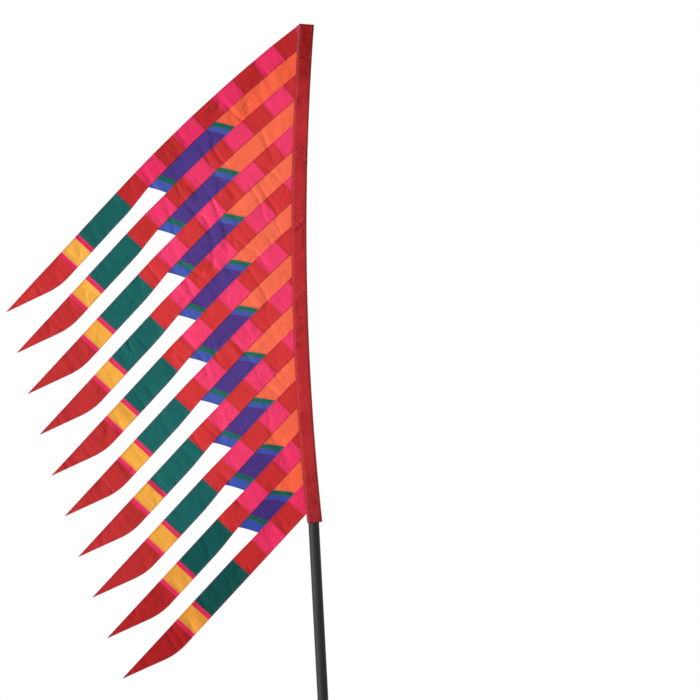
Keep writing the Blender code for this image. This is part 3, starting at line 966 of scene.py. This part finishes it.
@dataclass
class Streamer:
    """A patchwork strip that is sewn in from the sleeve to its hinge and free from there."""

    lines: FlagLines
    index: int
    works: ClothWorks
    cloth: Finish
    thread: Finish
    hinge_reach: float = 0.652
    hinge_step: float = 0.0408
    tail_reach: float = 1.205
    tail_step: float = 0.0474
    tip_cut: float = 0.158
    tip_ease: float = 0.040
    tip_blunt: float = 0.0015
    tip_points: int = 17
    green_start: float = 0.730
    check: float = 0.079
    most_checks: int = 12
    green: float = 0.165
    band: float = 0.0135
    yellow: float = 0.058
    hem: float = 0.0042
    hem_step: float = 0.0007
    row_in: float = 0.0022
    cell: float = 0.0034
    rows: int = 14
    front: float = -0.00040
    tuck: float = 0.0030
    bend_room: float = 0.055
    flutter_run: float = 0.30
    edge_in: float = 0.0005
    narrowest: float = 2.6
    last_stitch: float = 0.012
    bar_reach: float = 0.515
    bar_step: float = 0.0400
    free_upper: float = 0.0028
    free_lower: float = 0.0032
    free_lower_step: float = 0.0004
    free_run: float = 0.13
    free_ahead: float = 0.02
    seam_taken: float = 0.0050
    seams_taken: int = 4

    @cached_property
    def line(self) -> StripLine:
        """The strip's upper edge."""
        return StripLine(self.lines, self.index)

    @property
    def hinge(self) -> float:
        """How far along the tail starts to swing."""
        return self.hinge_reach - self.hinge_step * self.index

    @property
    def tip(self) -> float:
        """How far along the point is."""
        return self.tail_reach - self.tail_step * self.index

    def patches(self) -> list[Patch]:
        """The patches from the sleeve out."""
        green = self.green_start - self.tail_step * self.index
        checks = [Patch(green - self.check * n, Dye.PINK if n % 2 else Dye.RED)
                  for n in range(self.most_checks) if green - self.check * n > -self.check / 2]
        found = checks[::-1]
        for length, dye in ((self.green, Dye.GREEN), (self.band, Dye.BAND_PINK),
                            (self.yellow, Dye.YELLOW), (self.band, Dye.BAND_PINK)):
            found.append(Patch(found[-1].end + length, dye))
        return found + [Patch(self.tip, Dye.TIP_RED)]

    def widths(self, along: Array) -> Array:
        """The strip's width, which a knife cut takes down to a point at the tip."""
        cut = math.atan2(self.width, self.tip_cut)
        ease = np.linspace(0.0, 1.0, self.tip_points)
        back = np.array([self.tip_cut + self.tip_ease, self.tip_cut,
                         self.tip_cut - self.tip_ease * math.cos(cut)])
        over = np.array([self.width, self.width, self.width - self.tip_ease * math.sin(cut)])
        curve = [(1 - ease) ** 2 * p[0] + 2 * ease * (1 - ease) * p[1] + ease ** 2 * p[2]
                 for p in (back, over)]
        backs = np.append(curve[0], 0.0)[::-1]
        overs = np.append(curve[1], self.tip_blunt)[::-1]
        return np.interp(self.tip - along, backs, overs)

    @property
    def width(self) -> float:
        """The strip's full width."""
        return self.lines.width

    def moved(self, along: Array | float, over: Array | float) -> Array:
        """How far over a place is once the free hems spread and the first seams draw in.

        Args:
            along: How far out the place is.
            over: How far over from the upper edge it is on a strip of even width.

        Returns:
            How far over it is on this one.
        """
        bar_above = self.bar_reach - self.bar_step * (self.index - 1)
        above = smooth(along / self.free_run) if self.index == 0 else smooth(
            (along - bar_above + self.free_ahead) / self.free_run)
        last = self.index == self.lines.streamers - 1
        below = 1.0 if last else smooth(
            (along - self.hinge + self.free_ahead) / self.free_run)
        upper = self.free_upper * above
        lower = (self.free_lower + self.free_lower_step * self.index) * below
        lower = lower - self.seam_taken * smooth(1 - self.index / self.seams_taken) * (1 - below)
        return over * (1 + (upper + lower) / self.width) - upper

    def at(self, along: Array | float, over: Array | float) -> Array:
        """Points of the strip."""
        return self.line.at(along, self.moved(along, over))

    def start(self, over: float) -> float:
        """How far along that row meets the sleeve."""
        return self.line.start(float(self.moved(0.0, over)))

    def across(self) -> Array:
        """Rows of points over the full width, closer together at the hems."""
        inner = self.hem + self.hem_step
        edge = np.array([0.0, self.edge_in, self.hem / 2, self.hem])
        middle = np.linspace(inner, self.width - inner, self.rows)
        return np.concatenate([edge, middle, self.width - edge[::-1]])

    def squeeze(self, width: Array) -> Array:
        """How much of a hem's width there is room for where the strip is this wide."""
        return np.minimum(width / self.narrowest / self.hem, 1.0)

    def narrowed(self, across: Array, width: Array) -> Array:
        """The rows where the strip is this wide, with the hems as wide as there is room."""
        squeeze = self.squeeze(width)
        near, far = self.hem * squeeze, width - self.hem * squeeze
        share = (across - self.hem) / (self.width - 2 * self.hem)
        middle = near + (far - near) * share
        found = np.where(across <= self.hem, across * squeeze, middle)
        return np.where(across >= self.width - self.hem,
                        width - (self.width - across) * squeeze, found)

    def hang(self, along: Array, across: Array, lift: float, ply: Array | float) -> Hung:
        """Hang points of the strip in their places.

        Args:
            along: How far out each point is.
            across: How far over from the upper edge.
            lift: How far off the flag's middle plane.
            ply: 1 where the cloth is doubled.

        Returns:
            The points.
        """
        points = self.at(along, across)
        points[..., 1] = lift
        flutter = smooth((along - self.hinge) / self.flutter_run)
        return Hung(points, self.lines.slack(points),
                    np.broadcast_to(ply, along.shape).astype(float), flutter,
                    float(self.index + 1))

    def build(self) -> bpy.types.Object:
        """The strip's cloth."""
        patches = self.patches()
        marks = []
        for patch in patches[:-1]:
            marks += [patch.end, patch.end - self.hem, patch.end - self.hem - self.hem_step]
        across = self.across()
        starts = np.array([self.start(a) - self.tuck for a in across])
        columns = spaced(float(starts.min()), self.tip, self.cell, marks)
        width = self.widths(columns)
        over = self.narrowed(across[None, :], width[:, None])
        along = np.maximum(columns[:, None], starts[None, :])
        last = np.searchsorted(columns, starts, side="right") - 1
        merged = np.maximum(np.arange(len(columns))[:, None], last[None, :])
        along = np.take_along_axis(along, merged, axis=0)
        hem = 1 - smooth((np.minimum(over, width[:, None] - over) - self.hem) / self.hem_step)
        ends = np.array([patch.end for patch in patches[:-1]])
        short = ends[None, :] - along.reshape(-1, 1)
        inside = np.where(short > -SLIGHT, short, 1.0).min(axis=1).reshape(along.shape)
        sewn = 1 - smooth((inside - self.hem) / self.hem_step)
        hung = self.hang(along, over, self.front, np.maximum(hem, sewn))
        middles = (columns[1:] + columns[:-1]) / 2
        last_strip = self.lines.streamers - 1
        colours = [next(p for p in patches if middle <= p.end + SLIGHT).dye.shade(
            self.index, last_strip, self.works.light) for middle in middles]
        flat = np.stack([along, over], axis=-1)
        return self.works.sheet(f"patchwork_streamer_{self.index + 1}", hung, flat,
                                colours, self.cloth, merged)

    def stitching(self) -> bpy.types.Object:
        """Rows along both edges and beside each patch's seam, on both faces."""
        reach = self.works.thickness / 2
        rows = []
        for lift in (self.front - reach, self.front + reach):
            for share in (0.0, 1.0):
                begin = self.start(self.width * share)
                along = spaced(begin, self.tip - self.last_stitch, self.cell)
                width = self.widths(along)
                inset = self.row_in * self.squeeze(width)
                over = inset if share == 0.0 else width - inset
                rows.append(self.hang(along, over, lift, 1.0))
            for patch in self.patches()[:-1]:
                spot = patch.end - self.row_in
                over = spaced(0.0, float(self.widths(np.array([spot]))[0]), self.cell)
                seen = over[[spot > self.start(a) for a in over]]
                if len(seen) > 2:
                    rows.append(self.hang(np.full(len(seen), spot), seen, lift, 1.0))
        return self.works.seams(f"streamer_seams_{self.index + 1}", rows, self.thread)

    def place(self) -> None:
        number = self.index + 1
        cloth, seams = self.build(), self.stitching()
        start = Vector(self.line.at(self.hinge, self.width / 2))
        end = start + self.line.out(self.hinge) * self.bend_room
        for piece in (cloth, seams):
            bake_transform(piece)
        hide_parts(f"streamer_{number}", f"tail_{number}")
        length = self.tip + self.tuck
        wide = float(self.moved(self.tip, self.width) - self.moved(self.tip, 0.0))
        cut = wide * (length - self.tip_cut / 2 - self.start(self.width) / 2)
        LOG.info("%s: %d faces, %.3f m long", cloth.name, len(cloth.data.polygons), length)


@dataclass
class InfillBar:
    """The bar behind a streamer and the next one down, which closes the gap between them."""

    upper: Streamer
    lower: Streamer
    works: ClothWorks
    cloth: Finish
    thread: Finish
    end_blue: tuple[float, float] = (0.033, 0.0295)
    end_green: float = 0.016
    blue: float = 0.018
    green: float = 0.018
    orange: tuple[float, float] = (0.277, 0.280)
    orange_step: tuple[float, float] = (0.0162, 0.0150)
    lap: float = 0.0048
    lap_edge: float = 0.88
    hem: float = 0.0042
    hem_step: float = 0.0007
    bow: float = 0.0014
    back: float = 0.00040
    cell: float = 0.0036
    rows: int = 18
    row_past: float = 0.02
    row_points: int = 28

    @property
    def index(self) -> int:
        """The bar's place from the top."""
        return self.upper.index

    def stations(self) -> list[tuple[float, float, Dye]]:
        """Where each patch starts on the upper and on the lower edge, from the sleeve out."""
        k = self.index
        ends = (self.upper.hinge, self.upper.bar_reach - self.upper.bar_step * k)
        orange = [ends[i] - self.orange[i] + self.orange_step[i] * k for i in (0, 1)]
        starts = [strip.start(over) - self.upper.tuck
                  for strip, over in ((self.upper, self.upper.width), (self.lower, 0.0))]
        tail = [ends[i] - self.end_blue[i] for i in (0, 1)]
        found = [(*starts, Dye.ORANGE)]
        for edges, shift, dye in ((orange, 0.0, Dye.BAR_GREEN), (orange, self.green, Dye.BLUE),
                                  (orange, self.green + self.blue, Dye.PURPLE),
                                  (tail, -self.end_green, Dye.BAR_GREEN), (tail, 0.0, Dye.BLUE),
                                  (ends, 0.0, Dye.BLUE)):
            found.append((edges[0] + shift, edges[1] + shift, dye))
        return found

    def hang(self, upper: Array, lower: Array, share: Array, lift: float,
             ply: Array | float) -> Hung:
        """Hang points between the upper strip's lower edge and the lower strip's upper edge.

        Args:
            upper: How far along the upper strip each column starts.
            lower: How far along the lower strip it ends.
            share: How far each point is from the one to the other.
            lift: How far off the flag's middle plane.
            ply: 1 where the cloth is doubled.

        Returns:
            The points.
        """
        pull = self.bow * 4 * share * (1 - share)
        first = self.upper.at(upper - pull, self.upper.width)
        second = self.lower.at(lower - pull, 0.0)
        points = first + (second - first) * share[..., None]
        points[..., 1] = lift
        return Hung(points, self.upper.lines.slack(points),
                    np.broadcast_to(ply, share.shape).astype(float), np.zeros(share.shape))

    def build(self) -> bpy.types.Object:
        """The bar's cloth, with a lap behind each strip that it is sewn to."""
        stations = self.stations()
        span = self.gap()
        lap, step = self.lap / span, self.hem_step / span
        near = lap * self.lap_edge
        share = np.concatenate([[-lap, -near], np.linspace(0.0, 1.0, self.rows),
                                [1 + near, 1 + lap]])
        share = np.sort(np.append(share, [step, 1 - step]))
        uppers, lowers, plies, colours = [stations[0][0]], [stations[0][1]], [0.0], []
        last = self.upper.lines.streamers - 2
        for (u0, l0, dye), (u1, l1, _) in zip(stations, stations[1:]):
            length = (u1 - u0 + l1 - l0) / 2
            marks = (length - self.hem - self.hem_step, length - self.hem)
            for spot in spaced(0.0, length, self.cell, marks)[1:]:
                uppers.append(u0 + (u1 - u0) * spot / length)
                lowers.append(l0 + (l1 - l0) * spot / length)
                plies.append(float(1 - smooth((length - spot - self.hem) / self.hem_step)))
                colours.append(dye.shade(self.index, last, self.works.light))
        upper, lower = np.array(uppers)[:, None], np.array(lowers)[:, None]
        beyond = np.maximum(-share, share - 1) * span
        lapped = smooth((beyond + self.hem_step) / self.hem_step)[None, :]
        ply = np.maximum(np.array(plies)[:, None], lapped)
        over = np.broadcast_to(share[None, :], ply.shape)
        hung = self.hang(upper + 0 * over, lower + 0 * over, over, self.back, ply)
        flat = np.stack([(upper + lower) / 2 + 0 * over, over * span], axis=-1)
        return self.works.sheet(f"infill_bar_{self.index + 1}", hung, flat, colours,
                                self.cloth)

    def gap(self) -> float:
        """How far apart the two strips are, halfway along the bar."""
        first = self.upper.at(self.upper.hinge / 2, self.upper.width)
        second = self.lower.at(self.lower.hinge / 2, 0.0)
        angle = float(np.interp(self.upper.hinge / 2, self.upper.line.along,
                                self.upper.line.angle))
        apart = second - first
        return float(abs(apart[0] * math.sin(angle) - apart[2] * math.cos(angle)))

    def stitching(self) -> bpy.types.Object:
        """Rows beside each patch's seam and along the end hem, on both faces."""
        reach = self.works.thickness / 2
        share = np.linspace(-self.row_past, 1 + self.row_past, self.row_points)
        rows = []
        for lift in (self.back - reach, self.back + reach):
            for upper, lower, _ in self.stations()[1:]:
                inset = self.upper.row_in
                rows.append(self.hang(np.full(len(share), upper - inset),
                                      np.full(len(share), lower - inset), share, lift, 1.0))
        return self.works.seams(f"infill_seams_{self.index + 1}", rows, self.thread)

    def place(self) -> None:
        cloth, seams = self.build(), self.stitching()
        for piece in (cloth, seams):
            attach(piece, "mast")
        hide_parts(f"infill_{self.index + 1}")
        first, last = self.stations()[0], self.stations()[-1]
        longest = max(last[0] - first[0], last[1] - first[1])
        mean = (last[0] - first[0] + last[1] - first[1]) / 2
        width = self.gap() + 2 * self.lap
        width * mean
        LOG.info("%s: %d faces, %.3f m wide", cloth.name, len(cloth.data.polygons), width)


@dataclass
class Sleeve:
    """The pocket up the pole: a folded band that is sewn to the cloth and shut at its top."""

    lines: FlagLines
    works: ClothWorks
    cloth: Finish
    seam_thread: Finish
    bright_thread: Finish
    tack_thread: Finish
    foot_dye: Colour = linear(158, 40, 42)
    middle_dye: Colour = linear(176, 44, 47)
    top_dye: Colour = linear(143, 29, 29)
    foot_run: float = 0.20
    top_from: float = 0.80
    top_run: float = 0.18
    half_edge: float = 0.0013
    edge_round: float = 7.0
    flatness: float = 9.0
    roundness: float = 0.66
    shine: float = 0.93
    # Painted shade on the inner flank: how much deeper, where it starts across and its run.
    flank_shade_depth: float = 0.75
    flank_shade_from: float = 0.80
    flank_shade_run: float = 0.12
    outer_fold: float = 0.0023
    ease: float = 0.0014
    tube_radii: tuple[float, float, float, float] = (0.016, 0.013, 0.010, 0.007)
    joints_up: tuple[float, float] = (0.075, 0.780)
    joint_ease: float = 0.070
    top_ease: float = 0.0085
    top_rings: tuple[float, ...] = (1.0, 0.75, 0.5, 0.3, 0.15, 0.05)
    band: float = 0.0070
    hem: float = 0.0300
    hem_step: float = 0.0008
    hem_rows: tuple[float, float] = (0.0280, 0.0340)
    calm: tuple[float, float] = (0.30, 0.12)
    calm_top: float = 0.02
    seam_in: float = 0.0016
    bright_in: float = 0.0060
    top_row: float = 0.0105
    row_lift: float = 0.0001
    row_ends: tuple[float, float] = (0.001, 0.003)
    row_points: int = 121
    turn_end: float = 0.12
    pitch: float = 0.0032
    thread_width: float = 0.00055
    tack_length: float = 0.082
    tack_end: float = 0.002
    tack_width: float = 0.0022
    tack_pitch: float = 0.0016
    tack_in: float = 0.0014
    cell: float = 0.0045
    sides: int = 64
    girth_points: int = 181
    waves: dict[str, float] = field(default_factory=lambda: {
        "swell_height": 0.0005, "swell_size": 0.10, "crease_height": 0.0046,
        "crease_size": 0.026, "crease_stretch": 2.2, "crease_lean": math.radians(-55.0),
        "pucker_height": 0.0003, "pucker_size": 0.010, "flutter_height": 0.0,
        "room_inside": 0.0008})

    def depth(self, height: Array) -> Array:
        """Half the pocket's depth, which follows the pole's tubes and shuts over its cap."""
        up = height - self.lines.sleeve_foot
        foot, middle, above, tip = self.tube_radii
        radius = foot - (foot - middle) * smooth((up - self.joints_up[0]) / self.joint_ease)
        radius -= (middle - above) * smooth((up - self.joints_up[1]) / self.joint_ease)
        thin = (up - self.joints_up[1]) / (self.lines.sleeve_height - self.joints_up[1])
        radius -= (above - tip) * np.clip(thin, 0.0, 1.0)
        open_share = np.clip((self.lines.sleeve_height - up) / self.top_ease, 0.0, 1.0)
        full = radius + self.ease
        return self.half_edge + (full - self.half_edge) * np.sqrt(1 - (1 - open_share) ** 2)

    def at(self, height: Array, turn: Array, lift: float = 0.0) -> Hung:
        """Points of the pocket's outside.

        Args:
            height: How high each point is.
            turn: How far round from the outer fold, in radians.
            lift: How far out from the cloth.

        Returns:
            The points.
        """
        lines = self.lines
        across = np.cos(turn)
        crown = np.maximum(1 - np.abs(across) ** self.flatness, 0.0) ** self.roundness
        depth = self.depth(height)
        edge = self.half_edge * np.minimum(np.abs(np.sin(turn)) * self.edge_round, 1.0)
        half = edge + (depth - self.half_edge) * crown
        lean = lines.sleeve_lean_at(height)
        side = np.sign(np.sin(turn) + SLIGHT)
        reach = lines.half_wide * across + self.outer_fold * smooth(across)
        points = np.stack([lines.sleeve_line(height) + np.cos(lean) * reach, side * half,
                           height - np.sin(lean) * reach], axis=-1)
        folded = np.abs(np.sin(turn)) < SLIGHT
        facing = np.stack([across * 0.5, np.where(folded, 0.0, side),
                           np.zeros_like(across)], axis=-1)
        facing /= np.linalg.norm(facing, axis=-1, keepdims=True)
        points = points + facing * lift
        edge_calm = smooth(np.minimum((1 + across) / self.calm[0], (1 - across) / self.calm[1]))
        slack = edge_calm * smooth((lines.sleeve_top - height) / self.calm_top)
        band = 1 - smooth((lines.half_wide * (1 + across) - self.band) / self.hem_step)
        hem = 1 - smooth((height - lines.sleeve_foot - self.hem) / self.hem_step)
        return Hung(points, facing * slack[..., None], np.maximum(band, hem),
                    np.zeros(across.shape))

    def dye(self, height: float, across: float) -> Colour:
        """The band's colour: deeper at its two ends, with painted shade along its inner flank.

        Args:
            height: How high the place is.
            across: From -1 at the inner edge to 1 at the outer fold.

        Returns:
            The colour.
        """
        up = float(self.lines.up(height))
        end, share = (self.top_dye, smooth((up - self.top_from) / self.top_run)) \
            if up > self.foot_run else (self.foot_dye, smooth(1 - up / self.foot_run))
        # Painted shade on the inner flank, which turns towards the key light and would come out
        # lighter.
        flank_shade = 1 + self.flank_shade_depth * float(smooth((-self.flank_shade_from - across) / self.flank_shade_run))
        return worn_by(self.works.light * self.shine * flank_shade, [
            m + (e - m) * float(share) for m, e in zip(self.middle_dye, end)])

    def build(self) -> bpy.types.Object:
        """The band's cloth, open at its foot."""
        lines = self.lines
        foot, top = lines.sleeve_foot, lines.sleeve_top
        marks = [foot + self.hem, foot + self.hem + self.hem_step]
        marks += [top - self.top_ease * share for share in self.top_rings]
        heights = spaced(foot, top, self.cell, marks)
        turns = np.arange(self.sides) * math.tau / self.sides
        hung = self.at(heights[:, None] + 0 * turns[None, :],
                       turns[None, :] + 0 * heights[:, None])
        count = self.sides
        faces, dyes = [], []
        for ring in range(len(heights) - 1):
            height = (heights[ring] + heights[ring + 1]) / 2
            for step in range(count):
                after = (step + 1) % count
                faces.append([ring * count + step, ring * count + after,
                              (ring + 1) * count + after, (ring + 1) * count + step])
                dyes.append(self.dye(height, math.cos((step + 0.5) / count * math.tau)))
        last = (len(heights) - 1) * count
        for step in range(count // 2):
            corners = dict.fromkeys([last + step, last + step + 1,
                                     last + (count - step - 1) % count,
                                     last + (count - step) % count])
            faces.append(list(corners))
            dyes.append(self.dye(top, 0.0))
        around = turns / math.tau * self.girth()
        flat = np.stack(np.broadcast_arrays(heights[:, None], around[None, :]), axis=-1)
        return self.works.shell("pole_sleeve", hung, flat, faces, dyes, self.cloth,
                                inward=True, waves=self.waves)

    def girth(self) -> float:
        """The pocket's way round, halfway up."""
        height = self.lines.sleeve_foot + self.lines.sleeve_height / 2
        turns = np.linspace(0.0, math.tau, self.girth_points)
        points = self.at(np.full(len(turns), height), turns).points
        return float(np.linalg.norm(np.diff(points, axis=0), axis=1).sum())

    def row(self, height: Array | float, turn: Array | float, lifts: float = 1.0) -> Hung:
        """A line of stitches up the pocket or round it.

        Args:
            height: How high it runs.
            turn: How far round from the outer fold.
            lifts: How many times the usual lift it stands off the cloth.

        Returns:
            Its points.
        """
        height, turn = (np.array(part) for part in np.broadcast_arrays(height, turn))
        return self.at(height, turn, self.row_lift * lifts)

    def stitching(self) -> list[bpy.types.Object]:
        """The seam that holds the cloth, the edge stitching and the rows round the hem."""
        lines = self.lines
        foot, top = lines.sleeve_foot, lines.sleeve_top
        up = spaced(foot + self.row_ends[0], top - self.row_ends[1], self.cell)
        short = spaced(top - self.tack_length, top - self.tack_end, self.cell)
        across = np.linspace(self.turn_end, math.pi - self.turn_end, self.row_points // 3)
        round_about = np.linspace(0.0, math.tau, self.row_points)
        seam = [self.row(foot + rise, round_about) for rise in self.hem_rows]
        bright, tack = [], []
        for side in (-1, 1):
            seam += [self.row(up, side * math.acos(inset / lines.half_wide - 1))
                     for inset in (self.seam_in, self.band)]
            seam.append(self.row(top - self.top_row, across * side))
            bright.append(self.row(up, side * math.acos(1 - self.bright_in / lines.half_wide)))
            tack.append(self.row(short, side * math.acos(self.tack_in / lines.half_wide - 1),
                                 2.0))
        fine = (self.pitch, self.thread_width)
        groups = (("sleeve_seams", seam, self.seam_thread, fine),
                  ("sleeve_topstitching", bright, self.bright_thread, fine),
                  ("sleeve_tack", tack, self.tack_thread, (self.tack_pitch, self.tack_width)))
        return [self.works.seams(name, rows, thread, *sizes, self.waves)
                for name, rows, thread, sizes in groups]

    def place(self) -> None:
        cloth, rows = self.build(), self.stitching()
        for piece in (cloth, *rows):
            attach(piece, "mast")
        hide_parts("sleeve", "sleeve_top_patch")
        length = self.lines.sleeve_height + self.hem
        self.girth()
        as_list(rows)
        LOG.info("%s: %d faces, %.3f m round", cloth.name, len(cloth.data.polygons),
                 self.girth())


@dataclass
class Hardware:
    """The pole and the ground kit, whose shapes come with the frame."""

    nodes: dict[str, bpy.types.Object]
    weld: float = 0.00001
    sharp: float = math.radians(32.0)

    def finishes(self) -> tuple[tuple[Finish, str, tuple[str, ...]], ...]:
        """Each finish, the record's slot for it and the pieces that wear it."""
        return (
            (CoatedTubeFinish("charcoal_coating", linear(33, 33, 34), linear(62, 62, 64)),
             "charcoal_tube", POLE),
            (ZincFinish("zinc_plating", (0.46, 0.47, 0.48), 0.40, 420.0),
             "spike_steel", ("ground_spike", "foot_plate")),
            (ZincFinish("turned_steel", (0.54, 0.54, 0.55), 0.28, 900.0),
             "zinc_steel", ("spindle", "retaining_clip")),
            (ZincFinish("aluminium_plug", (0.62, 0.62, 0.63), 0.32, 1100.0),
             "zinc_steel", ("joint_plug_lower", "joint_plug_upper")),
            (MouldedFinish("natural_nylon", (0.74, 0.72, 0.66), (0.60, 0.56, 0.48), 0.42,
                           500.0),
             "nylon", ("thrust_washer", "lower_bush", "upper_bush")),
            (MouldedFinish("black_rubber", (0.020, 0.020, 0.021), (0.085, 0.082, 0.078), 0.62,
                           800.0),
             "black_rubber", ("pole_tip_cap", "pole_foot_collar", "spindle_cap",
                              "grip_ring_lower", "grip_ring_upper")),
        )

    def place(self) -> None:
        """Give each piece its finish and stand it for its node."""
        for finish, slot, names in self.finishes():
            for name in names:
                self.finished(name, finish)
            LOG.info("%s: %s", finish.name, ", ".join(names))

    def finished(self, name: str, finish: Finish) -> bpy.types.Object:
        """A copy of a node with its triangles joined, whose round faces are shaded round.

        Args:
            name: The node.
            finish: What it is made of.

        Returns:
            The copy, which stands for the node.
        """
        node = self.nodes[name]
        corners = np.zeros(len(node.data.vertices) * 3)
        node.data.vertices.foreach_get("co", corners)
        corners = corners.reshape(-1, 3)
        _, first, joined = np.unique(np.round(corners / self.weld), axis=0, return_index=True,
                                     return_inverse=True)
        joined = joined.reshape(-1)
        faces = [dict.fromkeys(int(joined[corner]) for corner in face.vertices)
                 for face in node.data.polygons]
        mesh = bpy.data.meshes.new(name + FINISHED)
        mesh.from_pydata(corners[first].tolist(), [], [list(f) for f in faces if len(f) > 2])
        mesh.materials.append(finish.material())
        mesh.shade_smooth()
        mesh.set_sharp_from_angle(angle=self.sharp)
        made = added(mesh.name, mesh)
        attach(made, node["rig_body"])
        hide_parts(name)
        return made


@dataclass
class Studio:
    """The floor, the lights and the camera."""

    aim: tuple[float, float, float] = (0.133, 0.0, 1.479)
    frame_width: float = 2.055
    lens: float = 100.0
    sensor: float = 36.0
    roll: float = 3.0
    lit: tuple[float, float, float] = (-0.25, 0.0, 1.6)
    lights: tuple[tuple[str, tuple[float, float, float], float, float], ...] = (
        ("key_light", (-12.0, -6.4, 4.4), 1.9, 2750.0),
        ("back_light", (3.4, 3.2, 3.0), 1.2, 160.0))
    floor_radius: float = 4.2
    floor_sides: int = 96
    floor_gap: float = 0.001
    dim: float = 0.13

    def floor(self, height: float) -> None:
        """A pale floor under the spike."""
        turns = np.arange(self.floor_sides) * math.tau / self.floor_sides
        rim = np.stack([np.cos(turns) * self.floor_radius, np.sin(turns) * self.floor_radius,
                        np.full(self.floor_sides, height)], axis=-1)
        mesh = bpy.data.meshes.new("studio_floor")
        mesh.from_pydata(rim.tolist(), [], [list(range(self.floor_sides))])
        mesh.materials.append(FloorFinish().material())
        added("studio_floor", mesh)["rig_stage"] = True

    def softbox(self, name: str, place: tuple[float, float, float], size: float,
                power: float) -> None:
        """A square area light that looks at the middle of the flag."""
        light = bpy.data.lights.new(name, "AREA")
        light.shape = "SQUARE"
        light.size = size
        light.energy = power
        obj = added(name, light)
        obj.location = place
        way = Vector(self.lit) - Vector(place)
        obj.rotation_euler = way.to_track_quat("-Z", "Y").to_euler()

    def sky(self) -> None:
        """White all round at eye level, and dimmer above and below."""
        world = bpy.data.worlds.new("studio")
        world.use_nodes = True
        graph = Graph(world.node_tree)
        way = graph.node("ShaderNodeTexCoord", output="Generated")
        rise = graph.node("ShaderNodeSeparateXYZ", values={0: way}, output="Z").size()
        glow = graph.ramp(rise, (0.19, 1.0), (0.36, self.dim))
        white = graph.node("ShaderNodeBackground", values={
            "Color": (1.0, 1.0, 1.0, 1.0), "Strength": glow})
        graph.node("ShaderNodeOutputWorld", values={"Surface": white})
        bpy.context.scene.world = world

    def camera(self) -> None:
        """Straight on to the flag's face, a little rolled."""
        data = bpy.data.cameras.new("camera")
        data.lens = self.lens
        data.sensor_width = self.sensor
        obj = added("camera", data)
        away = self.frame_width * self.lens / self.sensor
        tilt = math.radians(self.roll)
        right = Vector((math.cos(tilt), 0.0, -math.sin(tilt)))
        up = Vector((math.sin(tilt), 0.0, math.cos(tilt)))
        turn = Matrix((right, up, Vector((0.0, -1.0, 0.0)))).transposed()
        place = Vector(self.aim) + Vector((0.0, -away, 0.0))
        obj.matrix_world = Matrix.Translation(place) @ turn.to_4x4()
        bpy.context.scene.camera = obj

    def place(self, lowest: float) -> None:
        """Set the studio up round an object with that lowest point."""
        self.camera()
        self.floor(lowest - self.floor_gap)
        self.sky()
        for name, at, size, power in self.lights:
            self.softbox(name, at, size, power)
        bpy.context.scene.view_settings.view_transform = "Standard"


def main() -> None:
    """Load the frame, hang the flag on it and set up the studio."""
    logging.basicConfig(level=logging.INFO, format="%(name)s: %(message)s")
    for obj in list(bpy.data.objects):
        bpy.data.objects.remove(obj, do_unlink=True)
    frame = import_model()
    cad_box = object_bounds()
    Studio().place(cad_box[0].z)
    Hardware(frame["nodes"]).place()

    lines = FlagLines()
    works = ClothWorks(light=1.23)
    nylon = ClothFinish("flag_nylon", 0.0011, 0.0055, 0.60, 0.00002)
    oxford = ClothFinish("sleeve_oxford", 0.0014, 0.0042, 0.62, 0.00005, crease_shade=0.14,
                         crease_relief=0.0014, crease_scale=34.0, crease_turns=(66.0, -58.0))
    thread = ThreadFinish("wine_thread", linear(186, 48, 62))
    grey = ThreadFinish("grey_thread", linear(136, 82, 82))
    bright = ThreadFinish("rose_thread", linear(196, 76, 80))
    slate = ThreadFinish("slate_thread", linear(92, 104, 140))
    Sleeve(lines, works, oxford, grey, bright, slate).place()
    strips = [Streamer(lines, index, works, nylon, thread) for index in range(lines.streamers)]
    for strip in strips:
        strip.place()
    for upper, lower in zip(strips, strips[1:]):
        InfillBar(upper, lower, works, nylon, thread).place()

    boxes = {"cad": cad_box, "visual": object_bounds()}
    {name: [list(corner) for corner in box] for name, box in boxes.items()}


if __name__ == "__main__":
    main()
